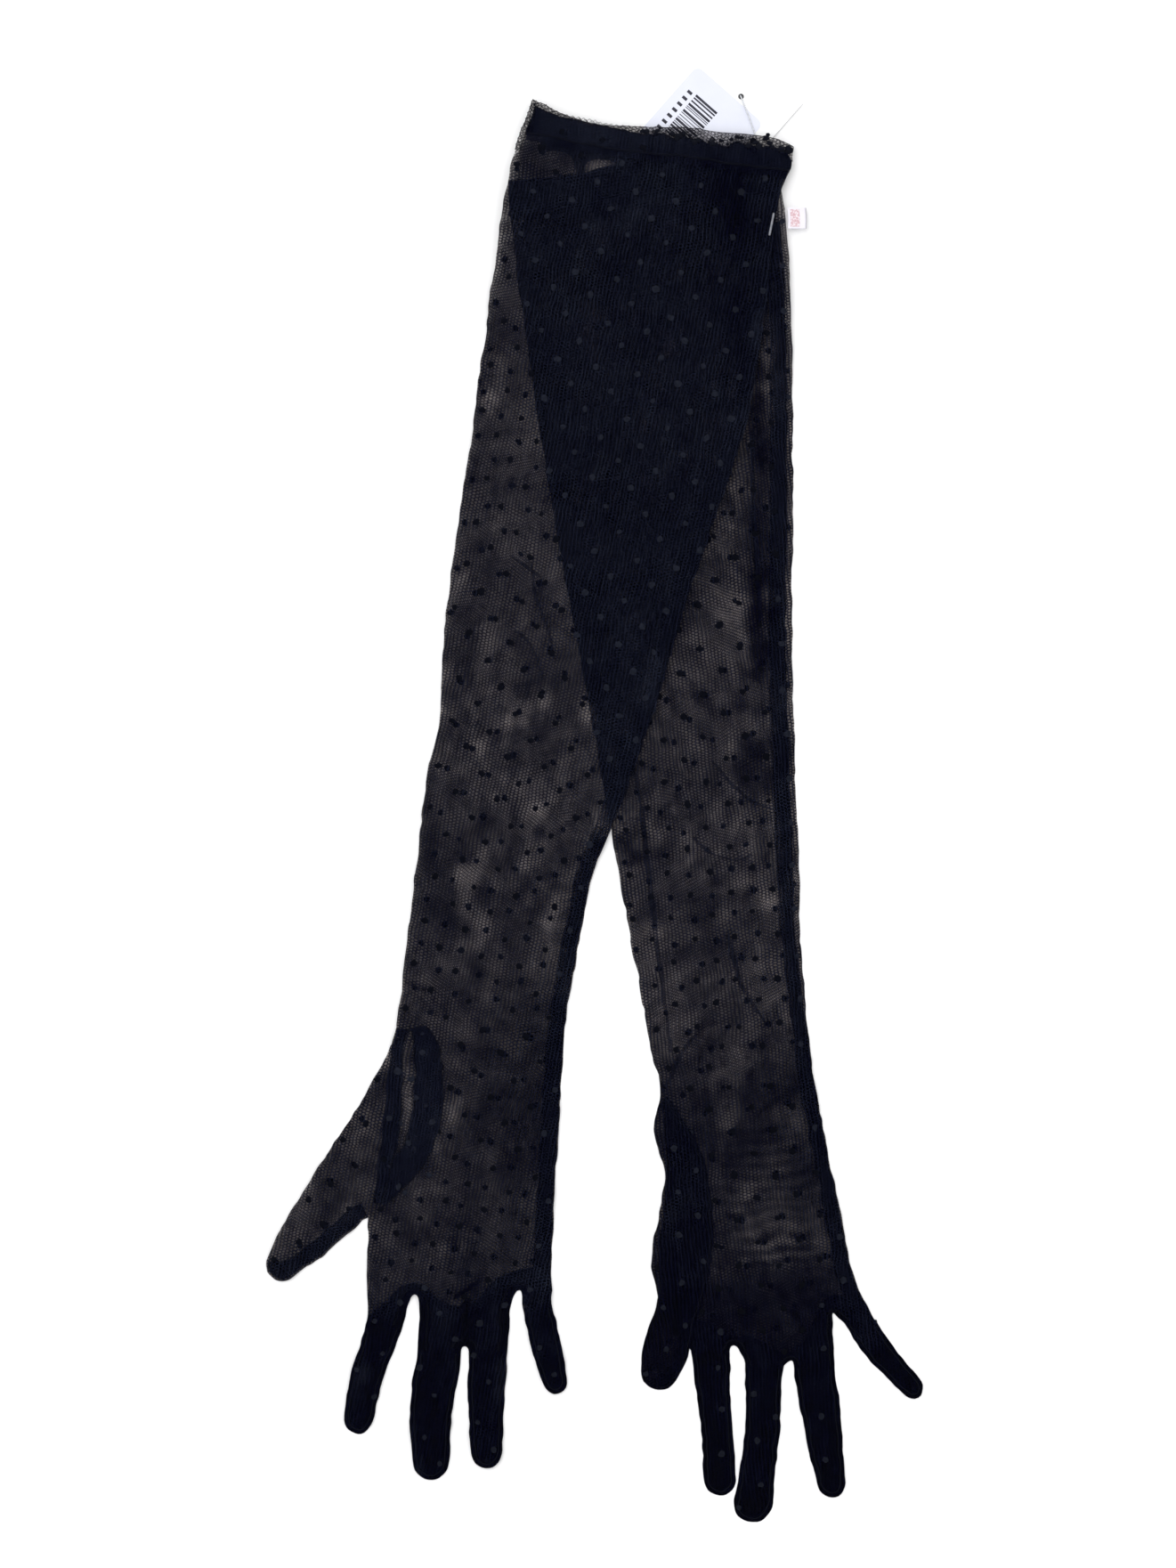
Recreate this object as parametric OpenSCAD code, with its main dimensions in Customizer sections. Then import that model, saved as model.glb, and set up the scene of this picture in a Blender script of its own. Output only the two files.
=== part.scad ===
// A pair of sheer dotted-net opera gloves lying flat, one across the other, with their swing tag.
// Millimetres. +Y runs from the fingertips to the cuffs, +X to the side of the little fingers, +Z up.
// The origin is the middle of the pair's outline, on the surface that the gloves lie on.

/* [Fabric] */
// Thickness of one ply of the net
ply_t = 0.4; // [0.3:0.05:0.4]
// Thickness of the seam allowances that lie between a glove's two plies
seam_t = 0.3; // [0.2:0.05:0.3]
// Thickness of the turned and stitched hem on each face of a cuff
hem_t = 0.3; // [0.2:0.05:0.3]
// Depth of a cuff's hem along the arm
hem_depth = 14; // [10:1:18]
// Width of the side seam's allowance
seam_w = 7; // [4:1:9]
// Width of a finger's side gusset that shows along its edges
gusset_w = 2; // [1.5:0.5:2.5]

/* [Clearance] */
// Air between two pieces that move apart
air = 0.3; // [0.3:0.05:0.4]
// Gap along a fold line between two pieces of one glove
fold_gap = 0.6; // [0.4:0.1:1]

/* [Swing tag] */
// Width of the card
tag_w = 53; // [45:1:56]
// Length of the card
tag_len = 87; // [75:1:90]
// Thickness of the card
tag_t = 0.4; // [0.3:0.05:0.4]
// Width of the price sticker
sticker_w = 38; // [30:1:42]
// Length of the price sticker
sticker_len = 62; // [50:1:64]
// Radius of the card's hole
tag_hole_r = 1.25; // [1.1:0.05:1.5]
// Diameter of the fastener's nylon filament
filament_d = 0.6; // [0.5:0.05:0.6]
// Length of the fastener's T-bar
t_bar_len = 10; // [8:1:11]
// Diameter of the fastener's T-bar
t_bar_d = 0.9; // [0.7:0.1:1]

/* [Care label] */
// Length of the label that stands out of the side seam
label_len = 8; // [6:1:9]
// Width of the label along the seam
label_w = 9; // [7:1:10]

/* [Hidden] */

NET = [0.14, 0.13, 0.15];
SEAM = [0.05, 0.05, 0.07];
HEM = [0.08, 0.08, 0.1];
CARD = [0.96, 0.97, 0.97];
STICKER = [0.9, 0.91, 0.97];
NYLON = [0.9, 0.9, 0.92];
SATIN = [0.9, 0.87, 0.92];

// Where each glove folds at the wrist
lower_wrist = -125;
upper_wrist = -109;

// Heights, from the surface up. The tag lies lowest, the lower glove over it and the upper glove on top.
glove_t = 2 * ply_t + seam_t;
fold_z = glove_t + air / 2;
paddle_t = 0.4;
tag_z = paddle_t + air;
sticker_t = 0.1;
tag_top = tag_z + tag_t + sticker_t;
filament_z = tag_top + air + filament_d / 2;
lower_lift = filament_z + filament_d / 2 + air + hem_t;
upper_lift = lower_lift + glove_t + hem_t + air;
pin_z = upper_lift + glove_t + air;
z_room = 40;
x_room = 400;
y_room = 800;

// The lower glove comes down off the tag, and the upper glove comes down off the lower one.
// Each drape is the height of the glove's underside at a few places along Y.
lower_drape = [[300, lower_lift], [218, lower_lift], [150, 0], [-400, 0]];
upper_drape = [[300, upper_lift], [60, upper_lift], [-95, 0], [-400, 0]];

// Sleeve edges from the cuff to the wrist
lower_sleeve_left = [
  [-38, 255], [-34, 218], [-26, 162], [-15, 95], [-3, 30], [7, -25], [15, -70], [18.7, -90], [25.3, -125]
];
lower_sleeve_right = [
  [79.5, 259], [79.9, 252], [81.7, 243.5], [83, 234.7], [83.8, 218], [85.4, 170], [85.6, 130],
  [84.9, 64], [86.2, 10], [87.8, -28], [89.2, -80], [93.7, -125]
];
upper_sleeve_left = [
  [-26.6, 290], [-36.5, 261], [-43.6, 218], [-53.9, 141], [-60.3, 100], [-64.8, 64], [-67.2, 24], [-72.4, -1],
  [-76.5, -34], [-79.4, -60], [-86, -109]
];
upper_sleeve_right = [
  [85.4, 269.4], [84.6, 261.6], [81.8, 254], [79.2, 246], [72, 191], [64, 145], [44, 87], [25, 25],
  [7, -25],
  [-0.6, -43], [-4.6, -59], [-9, -85], [-12.8, -109]
];
lower_sleeve_top = [[68, 263], [40, 265.5], [10, 262.5], [-5, 258]];
upper_sleeve_top = [[75.5, 274.4], [35, 278], [8, 278.6], [-4, 280.4], [-14, 284]];

// Each cuff's edge across the glove, which its hem's stitch line runs along
lower_cuff = [[-x_room, 254], [-38, 255], [-5, 258], [10, 262.5], [40, 265.5], [68, 263], [x_room, 259]];
upper_cuff = [[-40, 291], [-29.6, 289], [8.7, 281.7], [33, 279], [83, 272.6], [x_room, 262]];

// Hand edges from the wrist to the fingers, and the crotches between the fingers
lower_hand_left = [
  [25.3, -125], [28.6, -138], [25.4, -150], [26.8, -163], [30.2, -176], [24.4, -208], [27.2, -226],
  [32, -240], [41.2, -249.5]
];
lower_hand_right = [[93.7, -125], [97.4, -149], [103.5, -178], [108.4, -204], [111.8, -219], [120.6, -237]];
lower_crotches = [[60.5, -247], [83.5, -255], [103, -232]];
upper_hand_left = [[-86, -109], [-86.6, -118], [-97.7, -192], [-98.3, -239]];
upper_hand_right = [[-12.8, -109], [-14.3, -128], [-16.3, -159], [-17.8, -186], [-18.7, -213], [-18.4, -229]];
upper_crotches = [[-78, -225], [-56.2, -249], [-33, -223]];

// Fingers: name, centre line with half width from inside the palm to the tip's centre, and fold line's Y
lower_fingers = [
  [
    "index",
    [[49, -235, 8.5], [49.8, -250, 8.2], [51.9, -278, 6.8], [54.2, -306.2, 6.8]],
    -250
  ],
  [
    "middle",
    [[73, -236, 11.5], [73.2, -250, 11], [73.2, -257, 8.5], [72.2, -285, 7.3], [68.2, -317, 8.2]],
    -257
  ],
  [
    "ring",
    [[92.3, -226, 9.8], [93.7, -243, 9.3], [94.7, -257, 9.1], [97.9, -280, 8.4], [102.2, -308, 6.2]],
    -257
  ],
  [
    "little",
    [[106.8, -228, 6], [114.7, -238.6, 5.9], [124.8, -252.6, 5.8], [137.4, -266.5, 4.8]],
    -238
  ]
];
upper_fingers = [
  ["index", [[-87, -220, 8.6], [-91.4, -240, 7.6], [-99.1, -262, 7.1], [-102.2, -279.8, 6.8]], -240],
  ["middle", [[-67, -220, 9.4], [-67.3, -250, 9.5], [-70.9, -275, 9.4], [-71.3, -298.6, 7.9]], -250],
  ["ring", [[-45.2, -216, 9.4], [-45.8, -234, 9], [-46.6, -250, 8.4], [-47, -270, 8], [-47, -294, 7]], -250],
  ["little", [[-26, -218, 6.8], [-24.7, -230, 6.4], [-21.1, -248, 6.6], [-16.8, -264.5, 5]], -230]
];

// The upper glove's thumb points away from the palm and folds along the line where it meets the hand.
upper_thumb_fold = [[-86.6, -117], [-97.7, -192]];
upper_thumb_out = [[-101.6, -142.9], [-116.2, -165.5], [-129.8, -186.8], [-138, -201]];
upper_thumb_tip = [-135.6, -213.5];
upper_thumb_tip_r = 6.8;
upper_thumb_in = [[-117.3, -208.8], [-106, -199]];
thumb_gusset_centre = [-80, -150];
thumb_gusset_half = [11, 36];
// The lower glove's thumb is folded over its palm, about a line down the hand's edge.
lower_thumb_in = [
  [37.2, -260], [39.6, -255], [40.8, -250], [42.3, -243], [49, -216], [50.5, -190], [47, -167],
  [38, -150]
];
lower_thumb_tip = [27.9, -258.8];
lower_thumb_tip_r = 8.5;
lower_thumb_out = [
  [29.8, -139], [29.8, -151], [30.9, -176], [27.4, -204], [27.8, -226], [23.2, -239], [20.1, -251]
];

// Swing tag: its top corner, its turn from the X axis, and its hole from that corner
tag_corner = [50, 324];
tag_turn = -41.3;
tag_hole = [31, -15.5];
sticker_corner = [8, -18];
// The fastener's filament goes from the T-bar down through both gloves, over the card and through its hole.
filament_route = [
  [76, 236, 6.1], [76, 236, 5.2], [76, 236, 4.2], [75.9, 236.3, 3], [75.7, 237.2, 2.1],
  [75.5, 238.4, 1.8], [75.5, 241.5, 1.8], [75.2, 246, 1.8], [74.6, 251, 1.8], [73.8, 256, 1.8],
  [72.8, 261, 1.8], [71.6, 266, 1.8], [70.3, 271, 1.8], [68.8, 276, 1.8], [67.1, 281, 1.8],
  [65.2, 286, 1.8], [64.1, 288.8, 1.8], [63.5, 290.4, 1.8], [63.2, 291.2, 1.6], [63, 291.8, 1.2],
  [62.8, 292.3, 0.6], [62.7, 292.5, 0.3]
];
filament_sides = 8;
pin = [76, 236];
pin_hole_r = 1;
paddle_size = [3, 6];
t_bar_turn = 11;
label_x = 83.2;
label_y = 239;
label_t = 0.4;

// A smooth curve through a few points, with n steps between each two
function bend(a, b, c, d, t) =
  0.5 * (2 * b + (c - a) * t + (2 * a - 5 * b + 4 * c - d) * t * t + (3 * b - a - 3 * c + d) * t * t * t);
function curve(p, n = 3) = [
  for (i = [0 : len(p) - 2]) for (k = [0 : n - 1])
    bend(p[max(i - 1, 0)], p[i], p[i + 1], p[min(i + 2, len(p) - 1)], k / n),
  p[len(p) - 1]
];
function reversed(p) = [for (i = [len(p) - 1 : -1 : 0]) p[i]];
function flat(p) = [p[0], p[1]];
function unit(v) = v / norm(v);
function along(p, i) = unit(p[min(i + 1, len(p) - 1)] - p[max(i - 1, 0)]);
function left_of(v) = [-v[1], v[0]];
function named(list, name) = [for (f = list) if (f[0] == name) f][0];
function arc(centre, r, from, turn, n = 8) = [
  for (k = [0 : n]) centre + r * [cos(from + turn * k / n), sin(from + turn * k / n)]
];
function heading(v) = atan2(v[1], v[0]);

// A finger's edge: down one side at its half width, round the tip and up the other side
function finger_edge(path) =
  let (
    c = curve(path),
    xy = [for (p = c) flat(p)],
    last = len(c) - 1
  )
  concat(
    [for (i = [0 : last]) xy[i] - c[i][2] * left_of(along(xy, i))],
    arc(xy[last], c[last][2], heading(along(xy, last)) - 80, 160),
    reversed([for (i = [0 : last]) xy[i] + c[i][2] * left_of(along(xy, i))])
  );
// A thumb's edge: from the top of its fold line, round the tip, back to the bottom of the line
function upper_thumb_edge() = concat(
  curve(concat([upper_thumb_fold[0] - [fold_gap, 0]], upper_thumb_out)),
  arc(upper_thumb_tip, upper_thumb_tip_r, 160, 170),
  curve(concat(upper_thumb_in, [upper_thumb_fold[1] - [fold_gap, 0]]))
);
function lower_thumb_edge() = concat(
  arc(lower_thumb_tip, lower_thumb_tip_r, 180, 130),
  curve(concat(lower_thumb_in, [lower_thumb_out[0]]))
);

module lower_sleeve_plan() {
  polygon(concat(curve(lower_sleeve_left), reversed(curve(lower_sleeve_right)), lower_sleeve_top));
}
module upper_sleeve_plan() {
  polygon(concat(curve(upper_sleeve_left), reversed(curve(upper_sleeve_right)), upper_sleeve_top));
}
// Everything nearer the cuff than a line across, or nearer the fingertips
module above(y) {
  translate([-x_room, y]) square([2 * x_room, y_room]);
}
module below(y) {
  translate([-x_room, y - y_room]) square([2 * x_room, y_room]);
}
// A strip of a given width just inside a glove's side edge
module edge_strip(edge, w) {
  c = curve(edge);
  polygon(concat(c, reversed([for (p = c) p - [w, 0]])));
}
// A strip of a given width inside a path that runs round a shape with the shape on its left
module rim(path, w) {
  inner = [for (i = [0 : len(path) - 1]) path[i] + w * left_of(along(path, i))];
  polygon(concat(path, reversed(inner)));
}

// The children's outline as a sheet that follows a drape, its underside z above it
module draped_sheet(drape, z, t) {
  intersection() {
    linear_extrude(height = z_room) children();
    translate([-x_room, 0, 0])
      rotate([90, 0, 90])
        linear_extrude(height = 2 * x_room)
          polygon(concat(
            [for (p = drape) [p[0], p[1] + z]],
            reversed([for (p = drape) [p[0], p[1] + z + t]])
          ));
  }
}
module flat_sheet(z, t) {
  translate([0, 0, z]) linear_extrude(height = t) children();
}
// The needle hole that the fastener's filament passes through
module pin_hole() {
  translate([pin[0], pin[1], -1]) cylinder(h = z_room, r = pin_hole_r, $fn = 32);
}

module sleeve_ply(drape, z) {
  color(NET)
    difference() {
      draped_sheet(drape, z, ply_t) children();
      pin_hole();
    }
}
module side_seam(drape) {
  color(SEAM)
    difference() {
      draped_sheet(drape, ply_t, seam_t) children();
      pin_hole();
    }
}
// A hem band on the outer face of each ply, between the cuff's edge and its stitch line
module cuff_hem(drape, cuff) {
  stitch_line = [for (p = cuff) p - [0, hem_depth]];
  color(HEM)
    for (z = [-hem_t, glove_t])
      draped_sheet(drape, z, hem_t)
        intersection() {
          children();
          polygon(concat(stitch_line, [[x_room, y_room], [-x_room, y_room]]));
        }
}

// The lower glove: sleeve
module lower_sleeve_back() {
  sleeve_ply(lower_drape, 0)
    intersection() {
      lower_sleeve_plan();
      above(lower_wrist + fold_gap / 2);
    }
}
module lower_sleeve_palm() {
  sleeve_ply(lower_drape, ply_t + seam_t)
    intersection() {
      lower_sleeve_plan();
      above(lower_wrist + fold_gap / 2);
    }
}
module lower_cuff_hem() {
  cuff_hem(lower_drape, lower_cuff) lower_sleeve_plan();
}
module lower_side_seam() {
  side_seam(lower_drape)
    intersection() {
      edge_strip(lower_sleeve_right, seam_w);
      above(lower_wrist + fold_gap / 2);
    }
}

// The upper glove: sleeve
module upper_sleeve_back() {
  sleeve_ply(upper_drape, 0)
    intersection() {
      upper_sleeve_plan();
      above(upper_wrist + fold_gap / 2);
    }
}
module upper_sleeve_palm() {
  sleeve_ply(upper_drape, ply_t + seam_t)
    intersection() {
      upper_sleeve_plan();
      above(upper_wrist + fold_gap / 2);
    }
}
module upper_cuff_hem() {
  cuff_hem(upper_drape, upper_cuff) upper_sleeve_plan();
}
module upper_side_seam() {
  side_seam(upper_drape)
    intersection() {
      edge_strip(upper_sleeve_right, seam_w);
      above(upper_wrist + fold_gap / 2);
    }
}

// Hands
module finger_plan(f) {
  intersection() {
    polygon(finger_edge(f[1]));
    below(f[2] - fold_gap / 2);
  }
}
module hand_plan(left, crotches, right, fingers, wrist) {
  intersection() {
    union() {
      polygon(concat(curve(left), crotches, reversed(curve(right))));
      for (f = fingers)
        intersection() {
          polygon(finger_edge(f[1]));
          above(f[2] + fold_gap / 2);
        }
    }
    below(wrist - fold_gap / 2);
  }
}
module lower_hand_plan() {
  hand_plan(lower_hand_left, lower_crotches, lower_hand_right, lower_fingers, lower_wrist);
}
module upper_hand_plan() {
  hand_plan(upper_hand_left, upper_crotches, upper_hand_right, upper_fingers, upper_wrist);
}
// The ply that lies on the surface, and the one that faces up
module bottom_ply(z = 0) {
  color(NET) flat_sheet(z, ply_t) children();
}
module top_ply(z = 0) {
  color(NET) flat_sheet(z + ply_t + seam_t, ply_t) children();
}
module between_plies(z = 0) {
  color(SEAM) flat_sheet(z + ply_t, seam_t) children();
}

module lower_hand_back() {
  top_ply() lower_hand_plan();
}
module lower_hand_palm() {
  bottom_ply() lower_hand_plan();
}
module lower_hand_seam() {
  between_plies()
    intersection() {
      edge_strip(lower_hand_right, seam_w);
      lower_hand_plan();
    }
}
module upper_hand_back() {
  bottom_ply() upper_hand_plan();
}
module upper_hand_palm() {
  top_ply() upper_hand_plan();
}
module upper_hand_seam() {
  between_plies()
    intersection() {
      edge_strip(upper_hand_right, seam_w);
      upper_hand_plan();
    }
}
// The oval of net let into the palm where the thumb is sewn in
module upper_thumb_gusset() {
  color(SEAM)
    flat_sheet(glove_t, seam_t)
      intersection() {
        polygon([
          for (a = [0 : 10 : 350])
            thumb_gusset_centre + [thumb_gusset_half[0] * cos(a), thumb_gusset_half[1] * sin(a)]
        ]);
        upper_hand_plan();
      }
}

// Thumbs. The lower one lies folded on top of its palm.
lower_thumb_z = glove_t + air;
module lower_thumb_plan() {
  polygon(concat(curve(lower_thumb_out), lower_thumb_edge()));
}
module upper_thumb_plan() {
  polygon(upper_thumb_edge());
}
module lower_thumb_back() {
  top_ply(lower_thumb_z) lower_thumb_plan();
}
module lower_thumb_palm() {
  bottom_ply(lower_thumb_z) lower_thumb_plan();
}
module lower_thumb_seam() {
  between_plies(lower_thumb_z)
    intersection() {
      rim(lower_thumb_edge(), gusset_w);
      lower_thumb_plan();
    }
}
module upper_thumb_back() {
  bottom_ply() upper_thumb_plan();
}
module upper_thumb_palm() {
  top_ply() upper_thumb_plan();
}
module upper_thumb_seam() {
  between_plies()
    intersection() {
      rim(upper_thumb_edge(), gusset_w);
      upper_thumb_plan();
    }
}

// Fingers. Each has two plies, and gussets between them that run down both sides and round the tip.
module finger_bottom(fingers, name) {
  bottom_ply() finger_plan(named(fingers, name));
}
module finger_top(fingers, name) {
  top_ply() finger_plan(named(fingers, name));
}
module fourchette(fingers, name) {
  f = named(fingers, name);
  between_plies()
    intersection() {
      rim(finger_edge(f[1]), gusset_w);
      below(f[2] - fold_gap / 2);
    }
}
module lower_index_back() {
  finger_top(lower_fingers, "index");
}
module lower_index_palm() {
  finger_bottom(lower_fingers, "index");
}
module lower_index_fourchette() {
  fourchette(lower_fingers, "index");
}
module lower_middle_back() {
  finger_top(lower_fingers, "middle");
}
module lower_middle_palm() {
  finger_bottom(lower_fingers, "middle");
}
module lower_middle_fourchette() {
  fourchette(lower_fingers, "middle");
}
module lower_ring_back() {
  finger_top(lower_fingers, "ring");
}
module lower_ring_palm() {
  finger_bottom(lower_fingers, "ring");
}
module lower_ring_fourchette() {
  fourchette(lower_fingers, "ring");
}
module lower_little_back() {
  finger_top(lower_fingers, "little");
}
module lower_little_palm() {
  finger_bottom(lower_fingers, "little");
}
module lower_little_fourchette() {
  fourchette(lower_fingers, "little");
}
module upper_index_back() {
  finger_bottom(upper_fingers, "index");
}
module upper_index_palm() {
  finger_top(upper_fingers, "index");
}
module upper_index_fourchette() {
  fourchette(upper_fingers, "index");
}
module upper_middle_back() {
  finger_bottom(upper_fingers, "middle");
}
module upper_middle_palm() {
  finger_top(upper_fingers, "middle");
}
module upper_middle_fourchette() {
  fourchette(upper_fingers, "middle");
}
module upper_ring_back() {
  finger_bottom(upper_fingers, "ring");
}
module upper_ring_palm() {
  finger_top(upper_fingers, "ring");
}
module upper_ring_fourchette() {
  fourchette(upper_fingers, "ring");
}
module upper_little_back() {
  finger_bottom(upper_fingers, "little");
}
module upper_little_palm() {
  finger_top(upper_fingers, "little");
}
module upper_little_fourchette() {
  fourchette(upper_fingers, "little");
}

// A folded satin label, caught in the lower glove's side seam
module care_label() {
  color(SATIN)
    translate([label_x, label_y - label_w / 2, lower_lift + ply_t])
      cube([label_len, label_w, label_t]);
}

// Swing tag
module on_tag(z) {
  translate([tag_corner[0], tag_corner[1], z]) rotate([0, 0, tag_turn]) children();
}
module tag_card() {
  color(CARD)
    on_tag(tag_z)
      difference() {
        translate([0, -tag_len, 0]) cube([tag_w, tag_len, tag_t]);
        translate([tag_hole[0], tag_hole[1], -1]) cylinder(h = tag_t + 2, r = tag_hole_r, $fn = 48);
      }
}
module tag_sticker() {
  round_r = 3;
  x0 = sticker_corner[0];
  x1 = x0 + sticker_w;
  y1 = sticker_corner[1];
  y0 = y1 - sticker_len;
  color(STICKER)
    on_tag(tag_z + tag_t)
      linear_extrude(height = sticker_t)
        polygon(concat(
          arc([x1 - round_r, y1 - round_r], round_r, 0, 90, 6),
          arc([x0 + round_r, y1 - round_r], round_r, 90, 90, 6),
          arc([x0 + round_r, y0 + round_r], round_r, 180, 90, 6),
          arc([x1 - round_r, y0 + round_r], round_r, 270, 90, 6)
        ));
}

// A tube swept along a route, with flat ends
module tube(route, r, sides) {
  c = curve(route, 2);
  rings = len(c);
  points = [
    for (i = [0 : rings - 1])
      let (way = along(c, i), a = unit(cross([1, 0, 0], way)), b = cross(way, a))
        for (k = [0 : sides - 1])
          c[i] + r * (cos(360 * k / sides) * a + sin(360 * k / sides) * b)
  ];
  walls = [
    for (i = [0 : rings - 2]) for (k = [0 : sides - 1])
      let (n = (k + 1) % sides)
        [i * sides + k, (i + 1) * sides + k, (i + 1) * sides + n, i * sides + n]
  ];
  first = [for (k = [0 : sides - 1]) k];
  last = [for (k = [sides - 1 : -1 : 0]) (rings - 1) * sides + k];
  polyhedron(points = points, faces = concat(walls, [first], [last]));
}
module tag_filament() {
  color(NYLON) tube(filament_route, filament_d / 2, filament_sides);
}
module tag_t_bar() {
  r = t_bar_d / 2;
  half = t_bar_len / 2 - r;
  color(NYLON)
    translate([pin[0], pin[1], pin_z + r])
      rotate([90, 0, -t_bar_turn])
        union() {
          translate([0, 0, -half]) cylinder(h = 2 * half, r = r, $fn = 32);
          for (end = [-half, half]) translate([0, 0, end]) sphere(r = r, $fn = 32);
        }
}
module tag_paddle() {
  color(NYLON)
    on_tag(0)
      translate([tag_hole[0] - paddle_size[0] / 2, tag_hole[1] - paddle_size[1] / 2, 0])
        cube([paddle_size[0], paddle_size[1], paddle_t]);
}

lower_sleeve_back();
lower_sleeve_palm();
lower_cuff_hem();
lower_side_seam();
lower_hand_back();
lower_hand_palm();
lower_hand_seam();
lower_thumb_back();
lower_thumb_palm();
lower_thumb_seam();
lower_index_back();
lower_index_palm();
lower_index_fourchette();
lower_middle_back();
lower_middle_palm();
lower_middle_fourchette();
lower_ring_back();
lower_ring_palm();
lower_ring_fourchette();
lower_little_back();
lower_little_palm();
lower_little_fourchette();
upper_sleeve_back();
upper_sleeve_palm();
upper_cuff_hem();
upper_side_seam();
upper_hand_back();
upper_hand_palm();
upper_hand_seam();
upper_thumb_gusset();
upper_thumb_back();
upper_thumb_palm();
upper_thumb_seam();
upper_index_back();
upper_index_palm();
upper_index_fourchette();
upper_middle_back();
upper_middle_palm();
upper_middle_fourchette();
upper_ring_back();
upper_ring_palm();
upper_ring_fourchette();
upper_little_back();
upper_little_palm();
upper_little_fourchette();
care_label();
tag_card();
tag_sticker();
tag_filament();
tag_t_bar();
tag_paddle();
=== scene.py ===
"""A pair of sheer dotted-net opera gloves lying flat, one across the other, with their swing tag.

Lengths in this script are in millimetres until a mesh is made. +Y runs from the fingertips to the cuffs.
"lower" is the glove that lies underneath and "upper" the one across it. Every piece of net is a ply: a
thin surface with real holes in its material and its woven dots as geometry.
"""
import math

import bpy
import numpy as np
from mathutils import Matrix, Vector
from mathutils.geometry import delaunay_2d_cdt
from mathutils.kdtree import KDTree


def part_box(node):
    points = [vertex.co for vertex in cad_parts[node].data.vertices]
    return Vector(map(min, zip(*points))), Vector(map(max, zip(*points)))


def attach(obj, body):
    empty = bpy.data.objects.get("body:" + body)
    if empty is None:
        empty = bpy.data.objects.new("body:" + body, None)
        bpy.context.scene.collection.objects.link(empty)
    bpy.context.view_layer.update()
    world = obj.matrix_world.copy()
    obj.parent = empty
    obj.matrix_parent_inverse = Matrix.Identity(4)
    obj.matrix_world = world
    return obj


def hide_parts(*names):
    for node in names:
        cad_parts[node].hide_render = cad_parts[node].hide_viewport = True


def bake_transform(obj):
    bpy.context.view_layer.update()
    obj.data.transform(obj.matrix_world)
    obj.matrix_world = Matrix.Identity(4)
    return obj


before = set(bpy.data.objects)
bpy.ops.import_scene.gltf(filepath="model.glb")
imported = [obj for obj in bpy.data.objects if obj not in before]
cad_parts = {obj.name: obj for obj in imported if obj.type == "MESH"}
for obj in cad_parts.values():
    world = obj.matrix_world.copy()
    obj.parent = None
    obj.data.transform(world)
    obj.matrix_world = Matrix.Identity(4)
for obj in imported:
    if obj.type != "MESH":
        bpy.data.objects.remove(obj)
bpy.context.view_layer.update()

MM = 0.001
scene = bpy.context.scene
FINGERS = ("index", "middle", "ring", "little")


# Camera, straight above -----------------------------------------------------------------------------

def make_camera():
    data = bpy.data.cameras.new("camera")
    data.sensor_fit = "VERTICAL"
    data.sensor_height = 36
    data.lens = 85
    camera = bpy.data.objects.new("camera", data)
    camera.location = (-0.0031, -0.0052, 1.601)
    scene.collection.objects.link(camera)
    scene.camera = camera


make_camera()

# The tag fastener's filament, the one cord ---------------------------------------------------------
# Its route is part.scad's: from the T-bar down through both gloves, over the card and into its hole.
FILAMENT_D = 0.6
FILAMENT_ROUTE = np.array([
    (76, 236, 6.1), (76, 236, 5.2), (76, 236, 4.2), (75.9, 236.3, 3), (75.7, 237.2, 2.1),
    (75.5, 238.4, 1.8), (75.5, 241.5, 1.8), (75.2, 246, 1.8), (74.6, 251, 1.8), (73.8, 256, 1.8),
    (72.8, 261, 1.8), (71.6, 266, 1.8), (70.3, 271, 1.8), (68.8, 276, 1.8), (67.1, 281, 1.8),
    (65.2, 286, 1.8), (64.1, 288.8, 1.8), (63.5, 290.4, 1.8), (63.2, 291.2, 1.6), (63, 291.8, 1.2),
    (62.8, 292.3, 0.6), (62.7, 292.5, 0.3)])


def smooth_curve(points, steps):
    """A Catmull-Rom curve through the points, with steps between each two."""
    p = np.vstack([points[:1], points, points[-1:]])
    t = np.arange(steps)[:, None] / steps
    out = []
    for a, b, c, d in zip(p, p[1:], p[2:], p[3:]):
        out.append(0.5 * (2 * b + (c - a) * t + (2 * a - 5 * b + 4 * c - d) * t ** 2
                          + (3 * b - a - 3 * c + d) * t ** 3))
    return np.vstack(out + [points[-1:]])


def tube(line, radius, sides):
    """A round tube along a line of points in space, closed at both ends."""
    ahead = np.gradient(line, axis=0)
    ahead /= np.linalg.norm(ahead, axis=1)[:, None]
    side = np.cross(ahead, (1.0, 0, 0))
    side /= np.linalg.norm(side, axis=1)[:, None]
    up = np.cross(side, ahead)
    turns = np.arange(sides) * 2 * math.pi / sides
    co = np.stack([line + radius * (math.cos(t) * side + math.sin(t) * up) for t in turns], 1).reshape(-1, 3)
    faces = [[r * sides + k, r * sides + sides + k, r * sides + sides + (k + 1) % sides, r * sides + (k + 1) % sides]
             for r in range(len(line) - 1) for k in range(sides)]
    last = (len(line) - 1) * sides
    return co, faces + [list(range(sides)), [last + k for k in range(sides)][::-1]]


def make_filament():
    line = smooth_curve(FILAMENT_ROUTE, 2) * MM
    co, faces = tube(line, FILAMENT_D / 2 * MM, 12)
    mesh = bpy.data.meshes.new("filament")
    mesh.from_pydata(co.tolist(), [], faces)
    mesh.polygons.foreach_set("use_smooth", [len(f) == 4 for f in faces])
    filament = bpy.data.objects.new("filament", mesh)
    scene.collection.objects.link(filament)
    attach(filament, "lower_sleeve")
    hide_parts("tag_filament")
    return filament


filament = make_filament()


# Random fields over the plane ----------------------------------------------------------------------

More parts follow.
